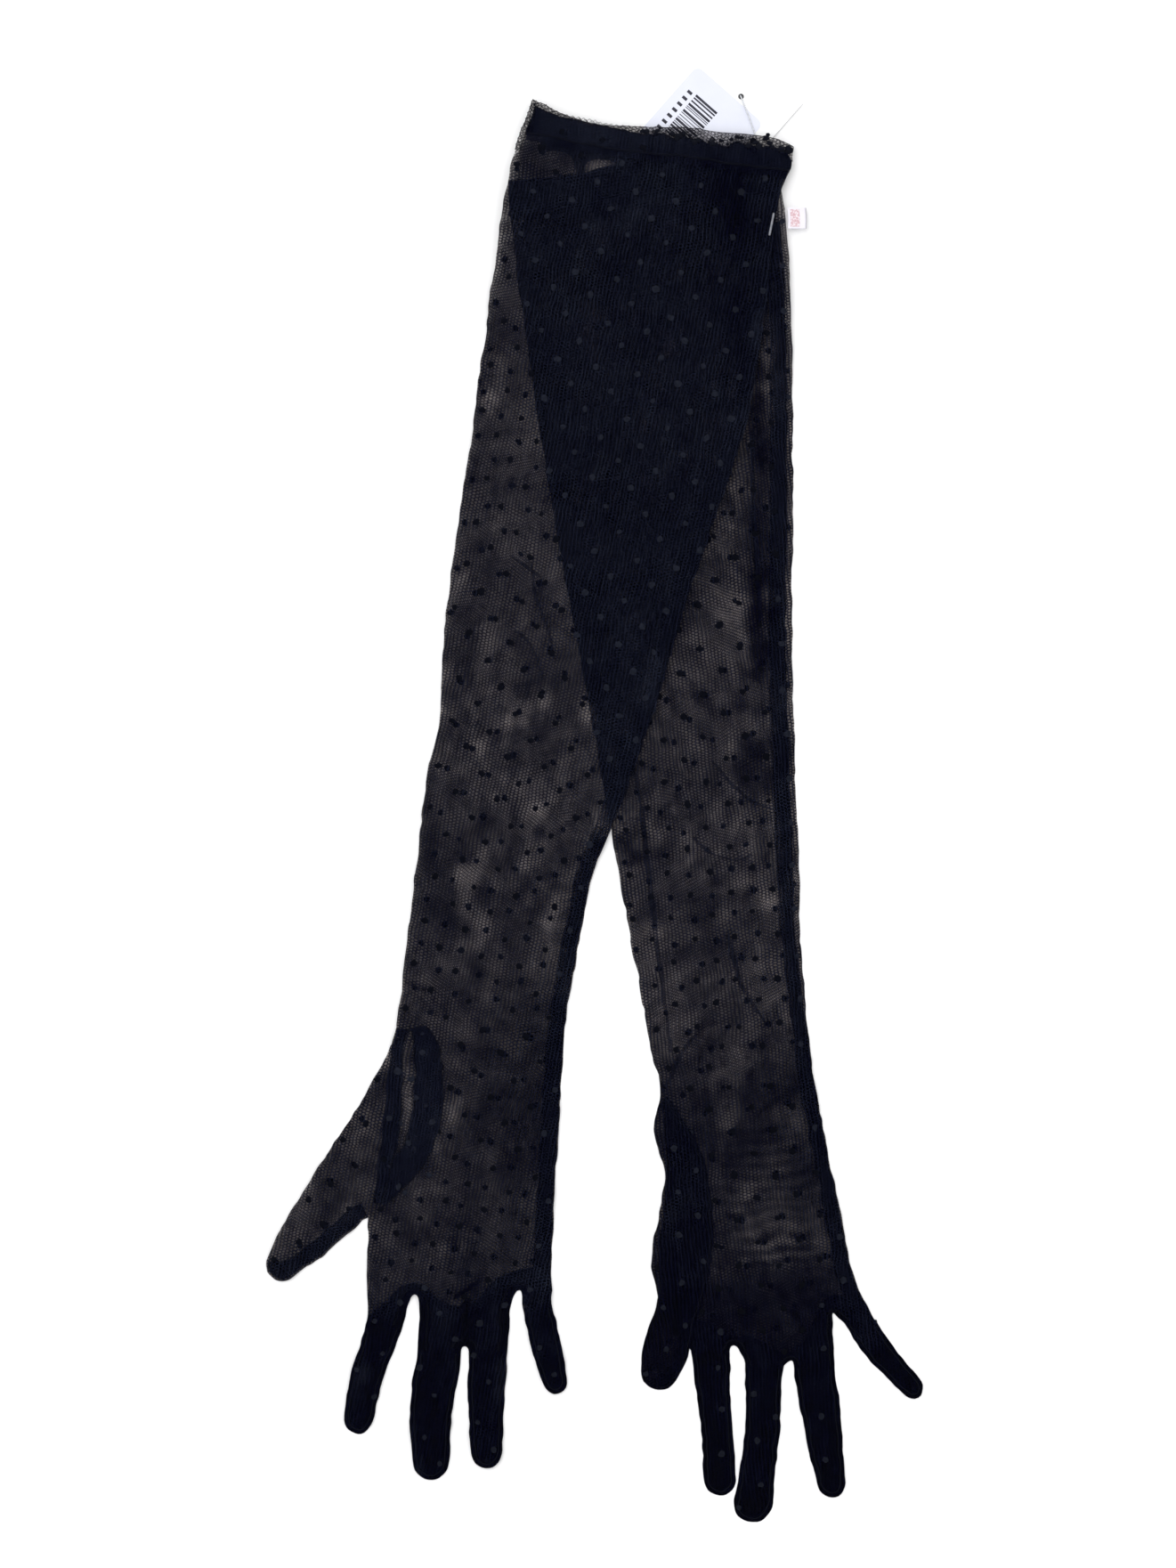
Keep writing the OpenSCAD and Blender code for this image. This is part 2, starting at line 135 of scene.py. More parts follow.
def field(x, y, size, seed, turn=0.6):
    """Smooth random values from -1 to 1, with features about size across."""
    grid = np.random.default_rng(seed).uniform(-1, 1, (128, 128))
    c, s = math.cos(turn + seed), math.sin(turn + seed)
    u, v = (c * x - s * y) / size + 500, (s * x + c * y) / size + 500
    i, j = np.floor(u).astype(int), np.floor(v).astype(int)
    a, b = u - i, v - j
    a, b = a ** 3 * (a * (6 * a - 15) + 10), b ** 3 * (b * (6 * b - 15) + 10)
    i, j, k, m = i % 128, j % 128, (i + 1) % 128, (j + 1) % 128
    low, high = grid[i, j] * (1 - a) + grid[k, j] * a, grid[i, m] * (1 - a) + grid[k, m] * a
    return low * (1 - b) + high * b


def ridges(x, y, size, seed):
    """Narrow random crests, from 0 in the open to 1 on a crest."""
    return (1 - np.abs(field(x, y, size, seed))) ** 3


def step(t, a=0.0, b=1.0):
    """A smooth step from 0 at a to 1 at b."""
    t = np.clip((np.asarray(t, float) - a) / (b - a), 0, 1)
    return t * t * (3 - 2 * t)


def ragged(p):
    """The small wander that a soft edge has, the same for every layer at a place."""
    x, y = p[:, 0], p[:, 1]
    shift = [0.45 * field(x, y, 9, s) + 0.3 * field(x, y, 3.5, s + 1) for s in (11, 21)]
    return p + np.stack(shift, 1)


# Outlines from the frame ---------------------------------------------------------------------------

def outline(node):
    """A CAD ply's plan outline, counter-clockwise, without its holes."""
    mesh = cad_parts[node].data
    keys = [(round(v.co.x / MM, 3), round(v.co.y / MM, 3)) for v in mesh.vertices]
    edges = {}
    for face in mesh.polygons:
        if face.normal.z < 0.5:
            continue
        corners = [keys[v] for v in face.vertices]
        for a, b in zip(corners, corners[1:] + corners[:1]):
            if a == b:
                continue
            if (b, a) in edges:
                del edges[b, a]
            else:
                edges[a, b] = True
    after = {a: b for a, b in edges}
    loops = []
    while after:
        start = next(iter(after))
        loop = [start]
        while loop[-1] in after:
            following = after.pop(loop[-1])
            if following == start:
                break
            loop.append(following)
        loops.append(np.array(loop))
    return max(loops, key=lambda p: abs(area(p)))


def area(p):
    x, y = p[:, 0], p[:, 1]
    return 0.5 * float((x * np.roll(y, -1) - np.roll(x, -1) * y).sum())


def snapped(loop, spots, reach=1.3):
    """The loop with its nearest point to each spot moved onto it."""
    loop = loop.copy()
    for spot in spots:
        gap = np.linalg.norm(loop - spot, axis=1)
        if gap.min() < reach:
            loop[gap.argmin()] = spot
    return loop


def resampled(loop, spacing, keep=(), sharp_above=1e9):
    """The loop with even spacing and the kept spots in place, and the rest smoothed. Its corners stay sharp
    beyond a place along Y."""
    before, ahead = loop - np.roll(loop, 1, 0), np.roll(loop, -1, 0) - loop
    turn = np.abs(np.angle((ahead[:, 0] + 1j * ahead[:, 1]) / (before[:, 0] + 1j * before[:, 1])))
    corner = (turn > math.radians(30)) & (loop[:, 1] > sharp_above)
    for spot in keep:
        corner |= np.linalg.norm(loop - spot, axis=1) < 0.01
    at = np.flatnonzero(corner)
    if len(at) < 2:
        at = np.array([0, len(loop) // 2])
    points, fixed = [], []
    for a, b in zip(at, np.append(at[1:], at[0] + len(loop))):
        run = loop[np.arange(a, b + 1) % len(loop)]
        lengths = np.append(0, np.cumsum(np.linalg.norm(np.diff(run, axis=0), axis=1)))
        count = max(1, round(lengths[-1] / spacing))
        t = np.linspace(0, lengths[-1], count + 1)[:-1]
        points.append(np.stack([np.interp(t, lengths, run[:, k]) for k in (0, 1)], 1))
        fixed.append(np.arange(count) == 0)
    points, fixed = np.vstack(points), np.concatenate(fixed)
    for _ in range(3):
        mean = (np.roll(points, 1, 0) + np.roll(points, -1, 0)) / 2
        points = np.where(fixed[:, None], points, 0.5 * points + 0.5 * mean)
    return points


class Edge:
    """A set of segments, (n, 2, 2), which answers how far points are from the nearest."""

    def __init__(self, segments):
        spots = np.concatenate([a + (b - a) * np.linspace(0, 1, 6)[:, None] for a, b in segments])
        self.tree = KDTree(len(spots))
        for k, (x, y) in enumerate(spots):
            self.tree.insert((x, y, 0), k)
        self.tree.balance()

    def away(self, p):
        return np.array([self.tree.find((x, y, 0))[2] for x, y in p[:, :2]])


def inside(p, loop):
    """Whether each point is inside the loop."""
    hit = np.zeros(len(p), bool)
    for (x0, y0), (x1, y1) in zip(loop, np.roll(loop, -1, 0)):
        crosses = (y0 > p[:, 1]) != (y1 > p[:, 1])
        with np.errstate(divide="ignore", invalid="ignore"):
            hit ^= crosses & (p[:, 0] < x0 + (p[:, 1] - y0) * (x1 - x0) / (y1 - y0))
    return hit


def rotated(p, degrees):
    a = math.radians(degrees)
    return p @ np.array([[math.cos(a), math.sin(a)], [-math.sin(a), math.cos(a)]])


def segments_of(loop):
    return np.stack([loop, np.roll(loop, -1, 0)], 1)


# One glove's plan: its pieces' outlines, which share their borders point by point -------------------

# Where the side gussets' ends, sewn in round the crotches, begin to darken each palm
KNUCKLE_LINES = {
    "lower": [(-400, -229), (24, -229), (50, -238), (56, -243), (61, -244.5), (66, -243), (74, -247), (80, -250.5),
              (84, -251), (88, -249), (94, -240), (98, -229), (104, -226), (112, -228), (400, -228)],
    "upper": [(-400, -234), (-98, -234), (-91, -230), (-84, -222), (-79, -220.5), (-74, -222), (-69, -227),
              (-63, -230.5), (-58, -231), (-52, -229), (-46, -222), (-41, -218), (-35, -215), (-29, -214.5),
              (-22, -213), (400, -213)],
}


class Glove:
    """The outlines of one glove's pieces, and the heights of its plies."""

    def __init__(self, name, wrist, axis):
        self.name = name
        self.wrist = wrist
        self.axis = axis
        ends = {}
        borders = []
        raw = {"sleeve": outline(f"{name}_sleeve_back"), "hand": outline(f"{name}_hand_back")}
        sleeve = raw["sleeve"]
        low = sleeve[sleeve[:, 1] < wrist + 0.5]
        self.wrist_ends = np.array([(low[:, 0].min(), wrist), (low[:, 0].max(), wrist)])
        borders.append(self.wrist_ends)
        for finger in FINGERS:
            raw[finger] = outline(f"{name}_{finger}_back")
            base = raw[finger][:, 1].max()
            row = raw[finger][raw[finger][:, 1] > base - 0.2]
            ends[finger] = np.array([(row[:, 0].min(), base + 0.3), (row[:, 0].max(), base + 0.3)])
            borders.append(ends[finger])
        self.finger_ends = ends
        spots = np.vstack(borders)
        self.loops = {part: resampled(snapped(loop, spots), 1.6, spots, 200) for part, loop in raw.items()}
        thumb = resampled(outline(f"{name}_thumb_back"), 1.6)
        if name == "upper":
            thumb = self.joined_to_hand(thumb)
        self.loops["thumb"] = thumb
        self.borders = borders
        self.sides = Edge(self.side_segments())
        self.sleeve_edge = Edge(segments_of(self.loops["sleeve"]))
        self.hand_edge = Edge(segments_of(self.loops["hand"]))
        self.under = None
        self.dark_line = np.array(KNUCKLE_LINES[name], float)

    def joined_to_hand(self, thumb):
        """The thumb's outline with the side that meets the hand replaced by the hand's own edge."""
        hand = self.loops["hand"]
        top = thumb[thumb[:, 1].argmax()]
        right = thumb[thumb[:, 0] > -99.5]
        bottom = right[right[:, 1].argmin()]
        a = int(np.linalg.norm(hand - top, axis=1).argmin())
        b = int(np.linalg.norm(hand - bottom, axis=1).argmin())
        if b < a:
            b += len(hand)
        shared = hand[np.arange(a, b + 1) % len(hand)][::-1]
        first = int(np.linalg.norm(thumb - top, axis=1).argmin())
        last = int(np.linalg.norm(thumb - bottom, axis=1).argmin())
        if last < first:
            last += len(thumb)
        outer = thumb[np.arange(first + 1, last) % len(thumb)]
        self.shared = shared
        return np.vstack([outer, shared])

    def side_segments(self):
        """The edges where the glove's two plies meet: not the cuff, and not the borders between pieces."""
        found = []
        for part, loop in self.loops.items():
            if part == "thumb" and self.name == "lower":
                continue
            for a, b in segments_of(loop):
                mid = (a + b) / 2
                along = (b - a) / max(np.linalg.norm(b - a), 1e-9)
                cuff = part == "sleeve" and along[0] < -0.75 and mid[1] > loop[:, 1].max() - 25
                border = any(abs(mid[1] - e[0, 1]) < 0.05 and e[0, 0] < mid[0] < e[1, 0]
                             for e in self.borders)
                if self.name == "upper" and part in ("hand", "thumb"):
                    border = border or np.linalg.norm(self.shared - mid, axis=1).min() < 1.0
                if not (cuff or border):
                    found.append((a, b))
        return np.array(found)

    def gap(self, p):
        """The air between the two plies, which close at the glove's side edges."""
        x, y = p[:, 0], p[:, 1]
        seed = 40 if self.name == "lower" else 60
        loose = 0.75 + 0.35 * field(x, y, 14, seed) + 0.5 * ridges(x, y, 24, seed + 1) * self.calm(p)
        if self.name == "lower":
            loose = loose * (1 - 0.32 * step(y, 205, 235))
        return 0.03 + loose * step(self.sides.away(p), 0, 3.5)

    def sheer(self, p):
        """How far the net is pulled open at each place: about -2 where it is close and dark, to 2. The same value
        paints the yarn darker or lighter, as painted shade and painted light.
        """
        x, y = p[:, 0], p[:, 1]
        seed = 700 if self.name == "lower" else 800
        along = rotated(p[:, :2], self.axis)
        u, v = along[:, 0], along[:, 1] * 0.62
        open_here = 0.32 * field(u, v, 21, seed) + 0.3 * field(u, v, 9, seed + 1)
        open_here = open_here + 0.3 * field(u, v * 0.25, 2.4, seed + 2)
        patch = field(u, v, 15, seed + 3) + 0.45 * field(u, v, 6, seed + 4) - 0.1
        open_here = open_here + 1.6 * step(patch, 0.35, 0.95)
        palm = step(y, self.wrist + 8, self.wrist - 14)
        if self.name == "upper":
            # Painted shadow: over darkens the net and paints its yarn near black in a smear along x 60, from the cuff
            # down to y 175, where the lower glove's folds lie beneath.
            over = 2.3 * np.exp(-((x - 59) / 9) ** 2 - ((y - 243) / 22) ** 2)
            over = over + 1.5 * np.exp(-((x - 62) / 7) ** 2 - ((y - 190) / 26) ** 2)
            through = 1.9 * np.exp(-((x - 2) / 7) ** 2 - ((y - 262) / 4) ** 2)
            brim = 0.9 * step(y, 268, 274)
            corner = 1.5 * step(x, -34.5, -30.5) * step(x, -23.5, -26) + 0.7 * step(x, -26, -23.5) * step(x, -7, -9)
            over = over + corner * step(y, 254, 257)
            slit = 1.2 * np.exp(-((x + 81 + 0.06 * (y + 140)) / 2.6) ** 2) * step(y, -166, -158) * step(y, -112, -119)
            forearm = 0.3 * step(y, 0, -40) * (1 - palm)
            forearm = forearm + 0.9 * np.exp(-((x + 60) / 13) ** 2 - ((y + 56) / 15) ** 2)
            thumb = 0.45 * step(x, -93, -104) * palm
            slit = slit + 2.4 * np.exp(-((x + 101 - 0.25 * (y + 262)) / 3) ** 2 - ((y + 262) / 7) ** 2)
            return (open_here - 0.45 * palm - forearm + thumb + slit - over + through + brim
                    - 1.1 * step(y, -222, -240))
        wave = np.sin((y - 0.12 * x + 2.5 * field(x, y, 16, 33)) * 2 * math.pi / 5.2)
        patchy = (0.45 + 0.55 * step(field(x, y, 17, 34), -0.3, 0.5)) * np.exp(-((x - 76) / 19) ** 4)
        ripple = 1.1 * wave * step(y, -140, -165) * step(y, -224, -205) * patchy
        slant = np.sin((y - 0.55 * x + 4 * field(x, y, 19, 35)) * 2 * math.pi / 11)
        ripple = ripple + 0.35 * slant * step(y, -10, -35) * step(y, -140, -115) * step(field(x, y, 22, 36), -0.2, 0.5)
        bright = 0.7 * np.exp(-((x - 74) / 15) ** 2 - ((y + 188) / 28) ** 2)
        # Painted shade in folds: a band of vertical tucks down the arm's right side is drawn as net pulled close, with
        # its yarn painted darker.
        tucks = np.exp(-((x - 71 - 0.012 * (y - 100)) / 6.5) ** 2) * step(y, -40, 20)
        open_here = open_here - (1.8 + 1.2 * np.exp(-((y - 66) / 24) ** 2) + 0.5 * field(2.2 * x, 0.14 * y, 5, 39)) * tucks
        return (open_here * (1 - 0.3 * palm) + ripple + (bright - 0.95) * palm
                - 1.0 * step(y, -206, -230))

    def doubled(self, p):
        """1 where more than the glove's own two plies lie together, else 0."""
        thick = np.zeros(len(p))
        if self.under is not None:
            thick += inside(p, self.under.loops["sleeve"])
        else:
            thick += inside(p, self.loops["thumb"])
        for finger in FINGERS:
            thick += inside(p, self.loops[finger])
        thick += p[:, 1] < np.interp(p[:, 0], *self.dark_line.T)
        if self.name == "upper":
            thick += ((p[:, 0] + 80) / 12) ** 2 + ((p[:, 1] + 148) / 38) ** 2 < 1
        for part, start, end in (("sleeve", self.wrist_ends[1], corners_of(self)[0]),
                                 ("hand", self.finger_ends["little"][1], self.wrist_ends[1])):
            run = run_of(self.loops[part], start, end)
            thick += Edge(np.stack([run[:-1], run[1:]], 1)).away(p) < 6.5
        return np.minimum(thick, 1)

    def calm(self, p):
        """1 where the plies are free to crumple, and less where another glove lies on them."""
        if self.name == "upper":
            return np.ones(len(p))
        return 0.25 + 0.75 * step(p[:, 1], -20, -70)

    def bottom(self, p):
        x, y = p[:, 0], p[:, 1]
        if self.name == "lower":
            rise = 2.7 * step(y, 150, 218)
            crumple = 0.25 + 0.25 * field(x, y, 20, 31)
            ripple = 0.5 * np.sin((y + 0.12 * x + 2.5 * field(x, y, 16, 33)) * 2 * math.pi / 5.2)
            where = step(y, -20, -45) * step(y, -245, -225) * step(field(x, y, 26, 34), -0.5, 0.4)
            return 0.12 + rise + crumple + (0.5 + ripple) * 0.7 * where
        over = 4.4 * step(y, -95, 60)
        outside = np.where(inside(p, self.under.loops["sleeve"]), -1, 1)
        near = np.maximum(1 - step(self.under.sleeve_edge.away(p) * outside, 0, 20), 0.64 * step(y, 205, 240))
        rest = 0.15 + 0.35 * (1 + field(x, y, 18, 51))
        return rest + (over - 0.1) * near + 0.9 * ridges(x, y, 26, 52) * (1 - 0.6 * near)

    def top(self, p):
        return self.bottom(p) + self.gap(p)

    def between(self, share):
        """The height of a layer that lies that share of the way from the bottom ply to the top one."""
        return lambda p: self.bottom(p) + share * self.gap(p)

    def above(self, lift):
        return lambda p: self.top(p) + lift

    def beneath(self, drop):
        return lambda p: self.bottom(p) - drop


lower = Glove("lower", -125, -5.5)
upper = Glove("upper", -109, 10.5)
upper.under = lower


# Materials -----------------------------------------------------------------------------------------

class Nodes:
    """A short way to write a material's node tree."""

    def __init__(self, name):
        self.material = bpy.data.materials.new(name)
        self.material.use_nodes = True
        self.tree = self.material.node_tree
        self.tree.nodes.clear()

    def add(self, kind, *ins, **props):
        """A node of that kind, with its inputs linked or set in order, or by name in props' last word."""
        node = self.tree.nodes.new("ShaderNode" + kind)
        sockets = props.pop("sockets", {})
        for key, value in props.items():
            setattr(node, key, value)
        for key, value in list(enumerate(ins)) + list(sockets.items()):
            if value is None:
                continue
            if isinstance(value, bpy.types.NodeSocket):
                self.tree.links.new(value, node.inputs[key])
            else:
                node.inputs[key].default_value = value
        return node

    def math(self, operation, *ins):
        return self.add("Math", *ins, operation=operation).outputs[0]

    def vector(self, operation, *ins, **props):
        return self.add("VectorMath", *ins, operation=operation, **props).outputs[0]

    def range(self, value, low, high, to_low=0.0, to_high=1.0):
        return self.add("MapRange", value, low, high, to_low, to_high,
                        interpolation_type="SMOOTHSTEP").outputs[0]

    def noise(self, vector, scale, detail=2.0, roughness=0.5):
        return self.add("TexNoise", vector, sockets={"Scale": scale, "Detail": detail,
                                                     "Roughness": roughness}).outputs[0]

    def ramp(self, value, dark, light):
        node = self.add("Mix", value, data_type="RGBA")
        node.inputs[6].default_value = (*dark, 1)
        node.inputs[7].default_value = (*light, 1)
        return node.outputs[2]

    def bump(self, height, strength, distance):
        return self.add("Bump", sockets={"Height": height, "Strength": strength,
                                         "Distance": distance}).outputs[0]

    def done(self, shader):
        self.add("OutputMaterial", shader.outputs[0] if hasattr(shader, "outputs") else shader)
        return self.material


def net_material(name, yarn, fleck, pitch, hole):
    """Knitted net, with hexagonal holes in columns along the arm. The cloth attribute holds each point's place in the
    cloth in millimetres, and in Z how far the net is pulled open there. Z also scales the yarn's colour: painted shade
    where the net is close, and painted light where it is open."""
    n = Nodes(name)
    cloth = n.add("Attribute", attribute_name="cloth").outputs["Vector"]
    spot = n.add("SeparateXYZ", cloth)
    mottle = n.noise(n.vector("MULTIPLY", cloth, (0.15, 0.12, 0)), 1.0, 5.0, 0.72)
    crumple = n.math("MULTIPLY_ADD", mottle, 5.6, -2.8)
    wander = n.noise(n.vector("MULTIPLY", cloth, (0.05, 0.033, 0)), 1.0, 2.0)
    # Painted shade in creases: thin random crease lines lower the net's openness value, so the net closes and its yarn
    # is painted darker along them.
    where = n.range(n.noise(n.vector("MULTIPLY", cloth, (0.021, 0.021, 0)), 1.0, 1.0), 0.45, 0.6)
    crease = n.range(n.math("ABSOLUTE", n.math("SUBTRACT", wander, 0.5)), 0.0, 0.016, 1.0, 0.0)
    crumple = n.math("SUBTRACT", crumple, n.math("MULTIPLY", n.math("MULTIPLY", crease, where), 1.1))
    open_and_shade = n.math("ADD", spot.outputs[2], crumple)
    open_and_shade = n.math("MAXIMUM", n.math("MINIMUM", open_and_shade, 3.0), -3.0)
    place = n.add("CombineXYZ", n.math("MULTIPLY", spot.outputs[1], 1 / pitch),
                  n.math("MULTIPLY", spot.outputs[0], 0.74 / pitch)).outputs[0]
    tall = math.sqrt(3)
    near = []
    for shift in (0, 0.5):
        moved = n.vector("ADD", place, (shift, shift * tall, 0))
        cell = n.vector("WRAP", moved, (0.5, tall / 2, 1), (-0.5, -tall / 2, 0))
        part = n.add("SeparateXYZ", n.vector("ABSOLUTE", cell))
        slope = n.math("ADD", n.math("MULTIPLY", part.outputs[0], 0.5),
                       n.math("MULTIPLY", part.outputs[1], tall / 2))
        near.append(n.math("MAXIMUM", part.outputs[0], slope))
    reach = n.math("MINIMUM", near[0], near[1])
    uneven = n.math("MULTIPLY_ADD", n.noise(cloth, 0.9, 1.0), 0.1, hole - 0.05)
    wall = n.range(n.math("SUBTRACT", reach, uneven), -0.06, 0.06)
    clear_hole = n.math("MULTIPLY_ADD", open_and_shade, 0.13, HOLE_CLEAR)
    clear_wall = n.math("MULTIPLY_ADD", open_and_shade, 0.06, WALL_CLEAR)
    clearness = n.add("Mix", wall, data_type="FLOAT")
    n.tree.links.new(clear_hole, clearness.inputs[2])
    n.tree.links.new(clear_wall, clearness.inputs[3])
    covered = n.math("SUBTRACT", 1.0, n.math("MAXIMUM", clearness.outputs[0], 0.04))
    streak = n.noise(n.vector("MULTIPLY", cloth, (0.9, 0.09, 0)), 1.0, 2.0)
    tone = n.ramp(n.range(streak, 0.3, 0.7), yarn, fleck)
    # Painted shade and light: the yarn's colour is scaled with the net's openness value, darker where the net is close
    # and lighter where it is open. blue keeps some blue in the painted shade.
    shade = n.math("MAXIMUM", n.math("MULTIPLY_ADD", open_and_shade, 0.38, 1.0), 0.15)
    blue = n.math("MAXIMUM", n.math("MULTIPLY_ADD", open_and_shade, 0.23, 1.0), 0.2)
    tone = n.vector("MULTIPLY", tone, n.add("CombineXYZ", shade, shade, blue).outputs[0])
    tone = n.vector("SCALE", tone, sockets={3: n.math("MULTIPLY_ADD", wall, 1.7, 0.05)})
    fibre = n.noise(cloth, 9.0, 2.0)
    height = n.math("ADD", n.math("MULTIPLY", reach, 1.0), n.math("MULTIPLY", fibre, 0.25))
    thread = n.add("BsdfPrincipled", sockets={
        "Base Color": tone, "Roughness": 0.75, "Specular IOR Level": 0.02, "Sheen Weight": 0.015,
        "Sheen Roughness": 0.5, "Normal": n.bump(height, 0.5, 0.0002)})
    clear = n.add("BsdfTransparent", (1, 0.965, 0.95, 1))
    return n.done(n.add("MixShader", covered, clear.outputs[0], thread.outputs[0]))


def dot_material(name, in_sheer, sheen_over_doubled):
    """A woven dot: near black where it is over sheer net, and paler than the net where that is doubled, a painted
    sheen. The cloth attribute's X says which, and its Y how open the net is there, which also darkens the dot with the
    net's painted shade."""
    n = Nodes(name)
    cloth = n.add("SeparateXYZ", n.add("Attribute", attribute_name="cloth").outputs["Vector"])
    place = n.add("TexCoord").outputs["Object"]
    fine = n.noise(place, 2500.0, 3.0, 0.6)
    tone = n.ramp(cloth.outputs[0], in_sheer, sheen_over_doubled)
    tone = n.vector("SCALE", tone, sockets={3: n.range(n.noise(place, 900.0, 2.0), 0.3, 0.7, 0.75, 1.25)})
    # Painted shade: the dot is darker where the net's openness value is low.
    tone = n.vector("SCALE", tone, sockets={3: n.range(cloth.outputs[1], -1.8, 0.2, 0.7, 1.0)})
    return n.done(n.add("BsdfPrincipled", sockets={
        "Base Color": tone, "Roughness": 0.8, "Specular IOR Level": 0.03, "Sheen Weight": 0.02,
        "Normal": n.bump(fine, 0.5, 0.0001)}))


def fibre_material(name, dark, light, roughness, grain, relief, sheen=0.1):
    """Thread, woven dots and satin: a soft fibrous surface."""
    n = Nodes(name)
    place = n.add("TexCoord").outputs["Object"]
    fine = n.noise(place, grain, 3.0, 0.6)
    tone = n.ramp(n.noise(place, grain / 8, 2.0), dark, light)
    rough = n.range(fine, 0.3, 0.7, roughness - 0.08, roughness + 0.08)
    return n.done(n.add("BsdfPrincipled", sockets={
        "Base Color": tone, "Roughness": rough, "Specular IOR Level": 0.05, "Sheen Weight": sheen,
        "Normal": n.bump(fine, 0.5, relief)}))


def paper_material(name, dark, light):
    n = Nodes(name)
    place = n.add("TexCoord").outputs["Object"]
    fibre = n.noise(place, 1800.0, 4.0, 0.6)
    mottle = n.noise(place, 120.0, 3.0)
    return n.done(n.add("BsdfPrincipled", sockets={
        "Base Color": n.ramp(mottle, dark, light), "Roughness": n.range(fibre, 0.3, 0.7, 0.45, 0.6),
        "Specular IOR Level": 0.3, "Normal": n.bump(fibre, 0.15, 0.00005)}))


def nylon_material(name, dark, light, clear):
    n = Nodes(name)
    place = n.add("TexCoord").outputs["Object"]
    scuff = n.noise(place, 900.0, 3.0)
    return n.done(n.add("BsdfPrincipled", sockets={
        "Base Color": n.ramp(scuff, dark, light), "Roughness": n.range(scuff, 0.3, 0.7, 0.2, 0.38),
        "Transmission Weight": clear, "IOR": 1.45, "Normal": n.bump(scuff, 0.2, 0.00005)}))


def woven_mark_material(name, ground, mark):
    """Satin with a mottled woven block, which stands for the label's mark."""
    n = Nodes(name)
    place = n.add("TexCoord").outputs["Object"]
    fine = n.noise(place, 1500.0, 3.0, 0.6)
    blotch = n.range(n.noise(place, 1100.0, 3.0, 0.7), 0.42, 0.58)
    return n.done(n.add("BsdfPrincipled", sockets={
        "Base Color": n.ramp(blotch, ground, mark), "Roughness": 0.45, "Specular IOR Level": 0.1,
        "Sheen Weight": 0.2, "Normal": n.bump(fine, 0.5, 0.00004)}))


HOLE_CLEAR, WALL_CLEAR = 0.56, 0.12
NET = net_material("net", (0.0022, 0.0029, 0.0078), (0.0046, 0.0058, 0.0124), 1.3, 0.36)
NET_DENSE = net_material("net_dense", (0.0018, 0.0024, 0.0066), (0.0038, 0.0048, 0.0106), 1.15, 0.31)
# The woven dot's pale tone, used over doubled net, is a painted sheen.
DOT = dot_material("woven_dot", (0.0014, 0.0018, 0.0044), (0.0088, 0.0104, 0.0172))
THREAD = fibre_material("thread", (0.0018, 0.0022, 0.0055), (0.0045, 0.0055, 0.0105), 0.75, 3000, 0.00005, 0.02)
SATIN = fibre_material("satin", (0.74, 0.71, 0.79), (0.84, 0.83, 0.90), 0.4, 1500, 0.00004, 0.3)
ROSE = woven_mark_material("woven_mark", (0.80, 0.72, 0.76), (0.62, 0.40, 0.44))
CARD = paper_material("card", (0.86, 0.87, 0.87), (0.9, 0.9, 0.9))
STICKER = paper_material("sticker", (0.69, 0.71, 0.81), (0.74, 0.76, 0.85))
INK = paper_material("ink", (0.02, 0.02, 0.03), (0.05, 0.05, 0.07))
NYLON = nylon_material("nylon", (0.66, 0.68, 0.72), (0.80, 0.81, 0.85), 0.25)
GREY_NYLON = nylon_material("grey_nylon", (0.20, 0.21, 0.25), (0.30, 0.31, 0.35), 0.3)
# Painted shade: near-black nylon for the paddle under the card's hole, so that the hole reads as dark as the shade
# inside it.
HOLE_SHADE_NYLON = nylon_material("hole_shade_nylon", (0.015, 0.015, 0.02), (0.03, 0.03, 0.04), 0.0)


# Meshes --------------------------------------------------------------------------------------------

class Sheet:
    """Points, faces, the place of each point in the cloth, and each face's material, gathered up."""

    def __init__(self):
        self.co, self.cloth, self.faces, self.slots, self.count = [], [], [], [], 0

    def add(self, co, faces, cloth, slot=0):
        self.co.append(co)
        self.cloth.append(cloth)
        self.faces += [[v + self.count for v in f] for f in faces]
        self.slots += [slot] * len(faces)
        self.count += len(co)

    def piece(self, name, materials):
        mesh = bpy.data.meshes.new(name)
        mesh.from_pydata((np.vstack(self.co) * MM).tolist(), [], self.faces)
        for material in materials:
            mesh.materials.append(material)
        mesh.polygons.foreach_set("material_index", self.slots)
        mesh.polygons.foreach_set("use_smooth", [True] * len(mesh.polygons))
        cloth = mesh.attributes.new("cloth", "FLOAT_VECTOR", "POINT")
        cloth.data.foreach_set("vector", np.vstack(self.cloth).astype(np.float32).ravel())
        mesh.update()
        piece = bpy.data.objects.new(name, mesh)
        scene.collection.objects.link(piece)
        return piece


def filled(loop, spacing):
    """Points and triangles that fill a loop: its own points, and a lattice inside it."""
    lo, hi = loop.min(0), loop.max(0)
    rows = np.arange(lo[1], hi[1], spacing * 0.866)
    grid = np.array([(x + (k % 2) * spacing / 2, y) for k, y in enumerate(rows)
                     for x in np.arange(lo[0], hi[0], spacing)])
    grid = grid[inside(grid, loop)]
    grid = grid[Edge(segments_of(loop)).away(grid) > spacing * 0.6]
    points = np.vstack([loop, grid])
    count = len(loop)
    border = [(i, (i + 1) % count) for i in range(count)]
    result = delaunay_2d_cdt([Vector(p) for p in points], border, [list(range(count))], 1, 1e-5)
    return np.array([tuple(v) for v in result[0]]), [list(f) for f in result[2]]


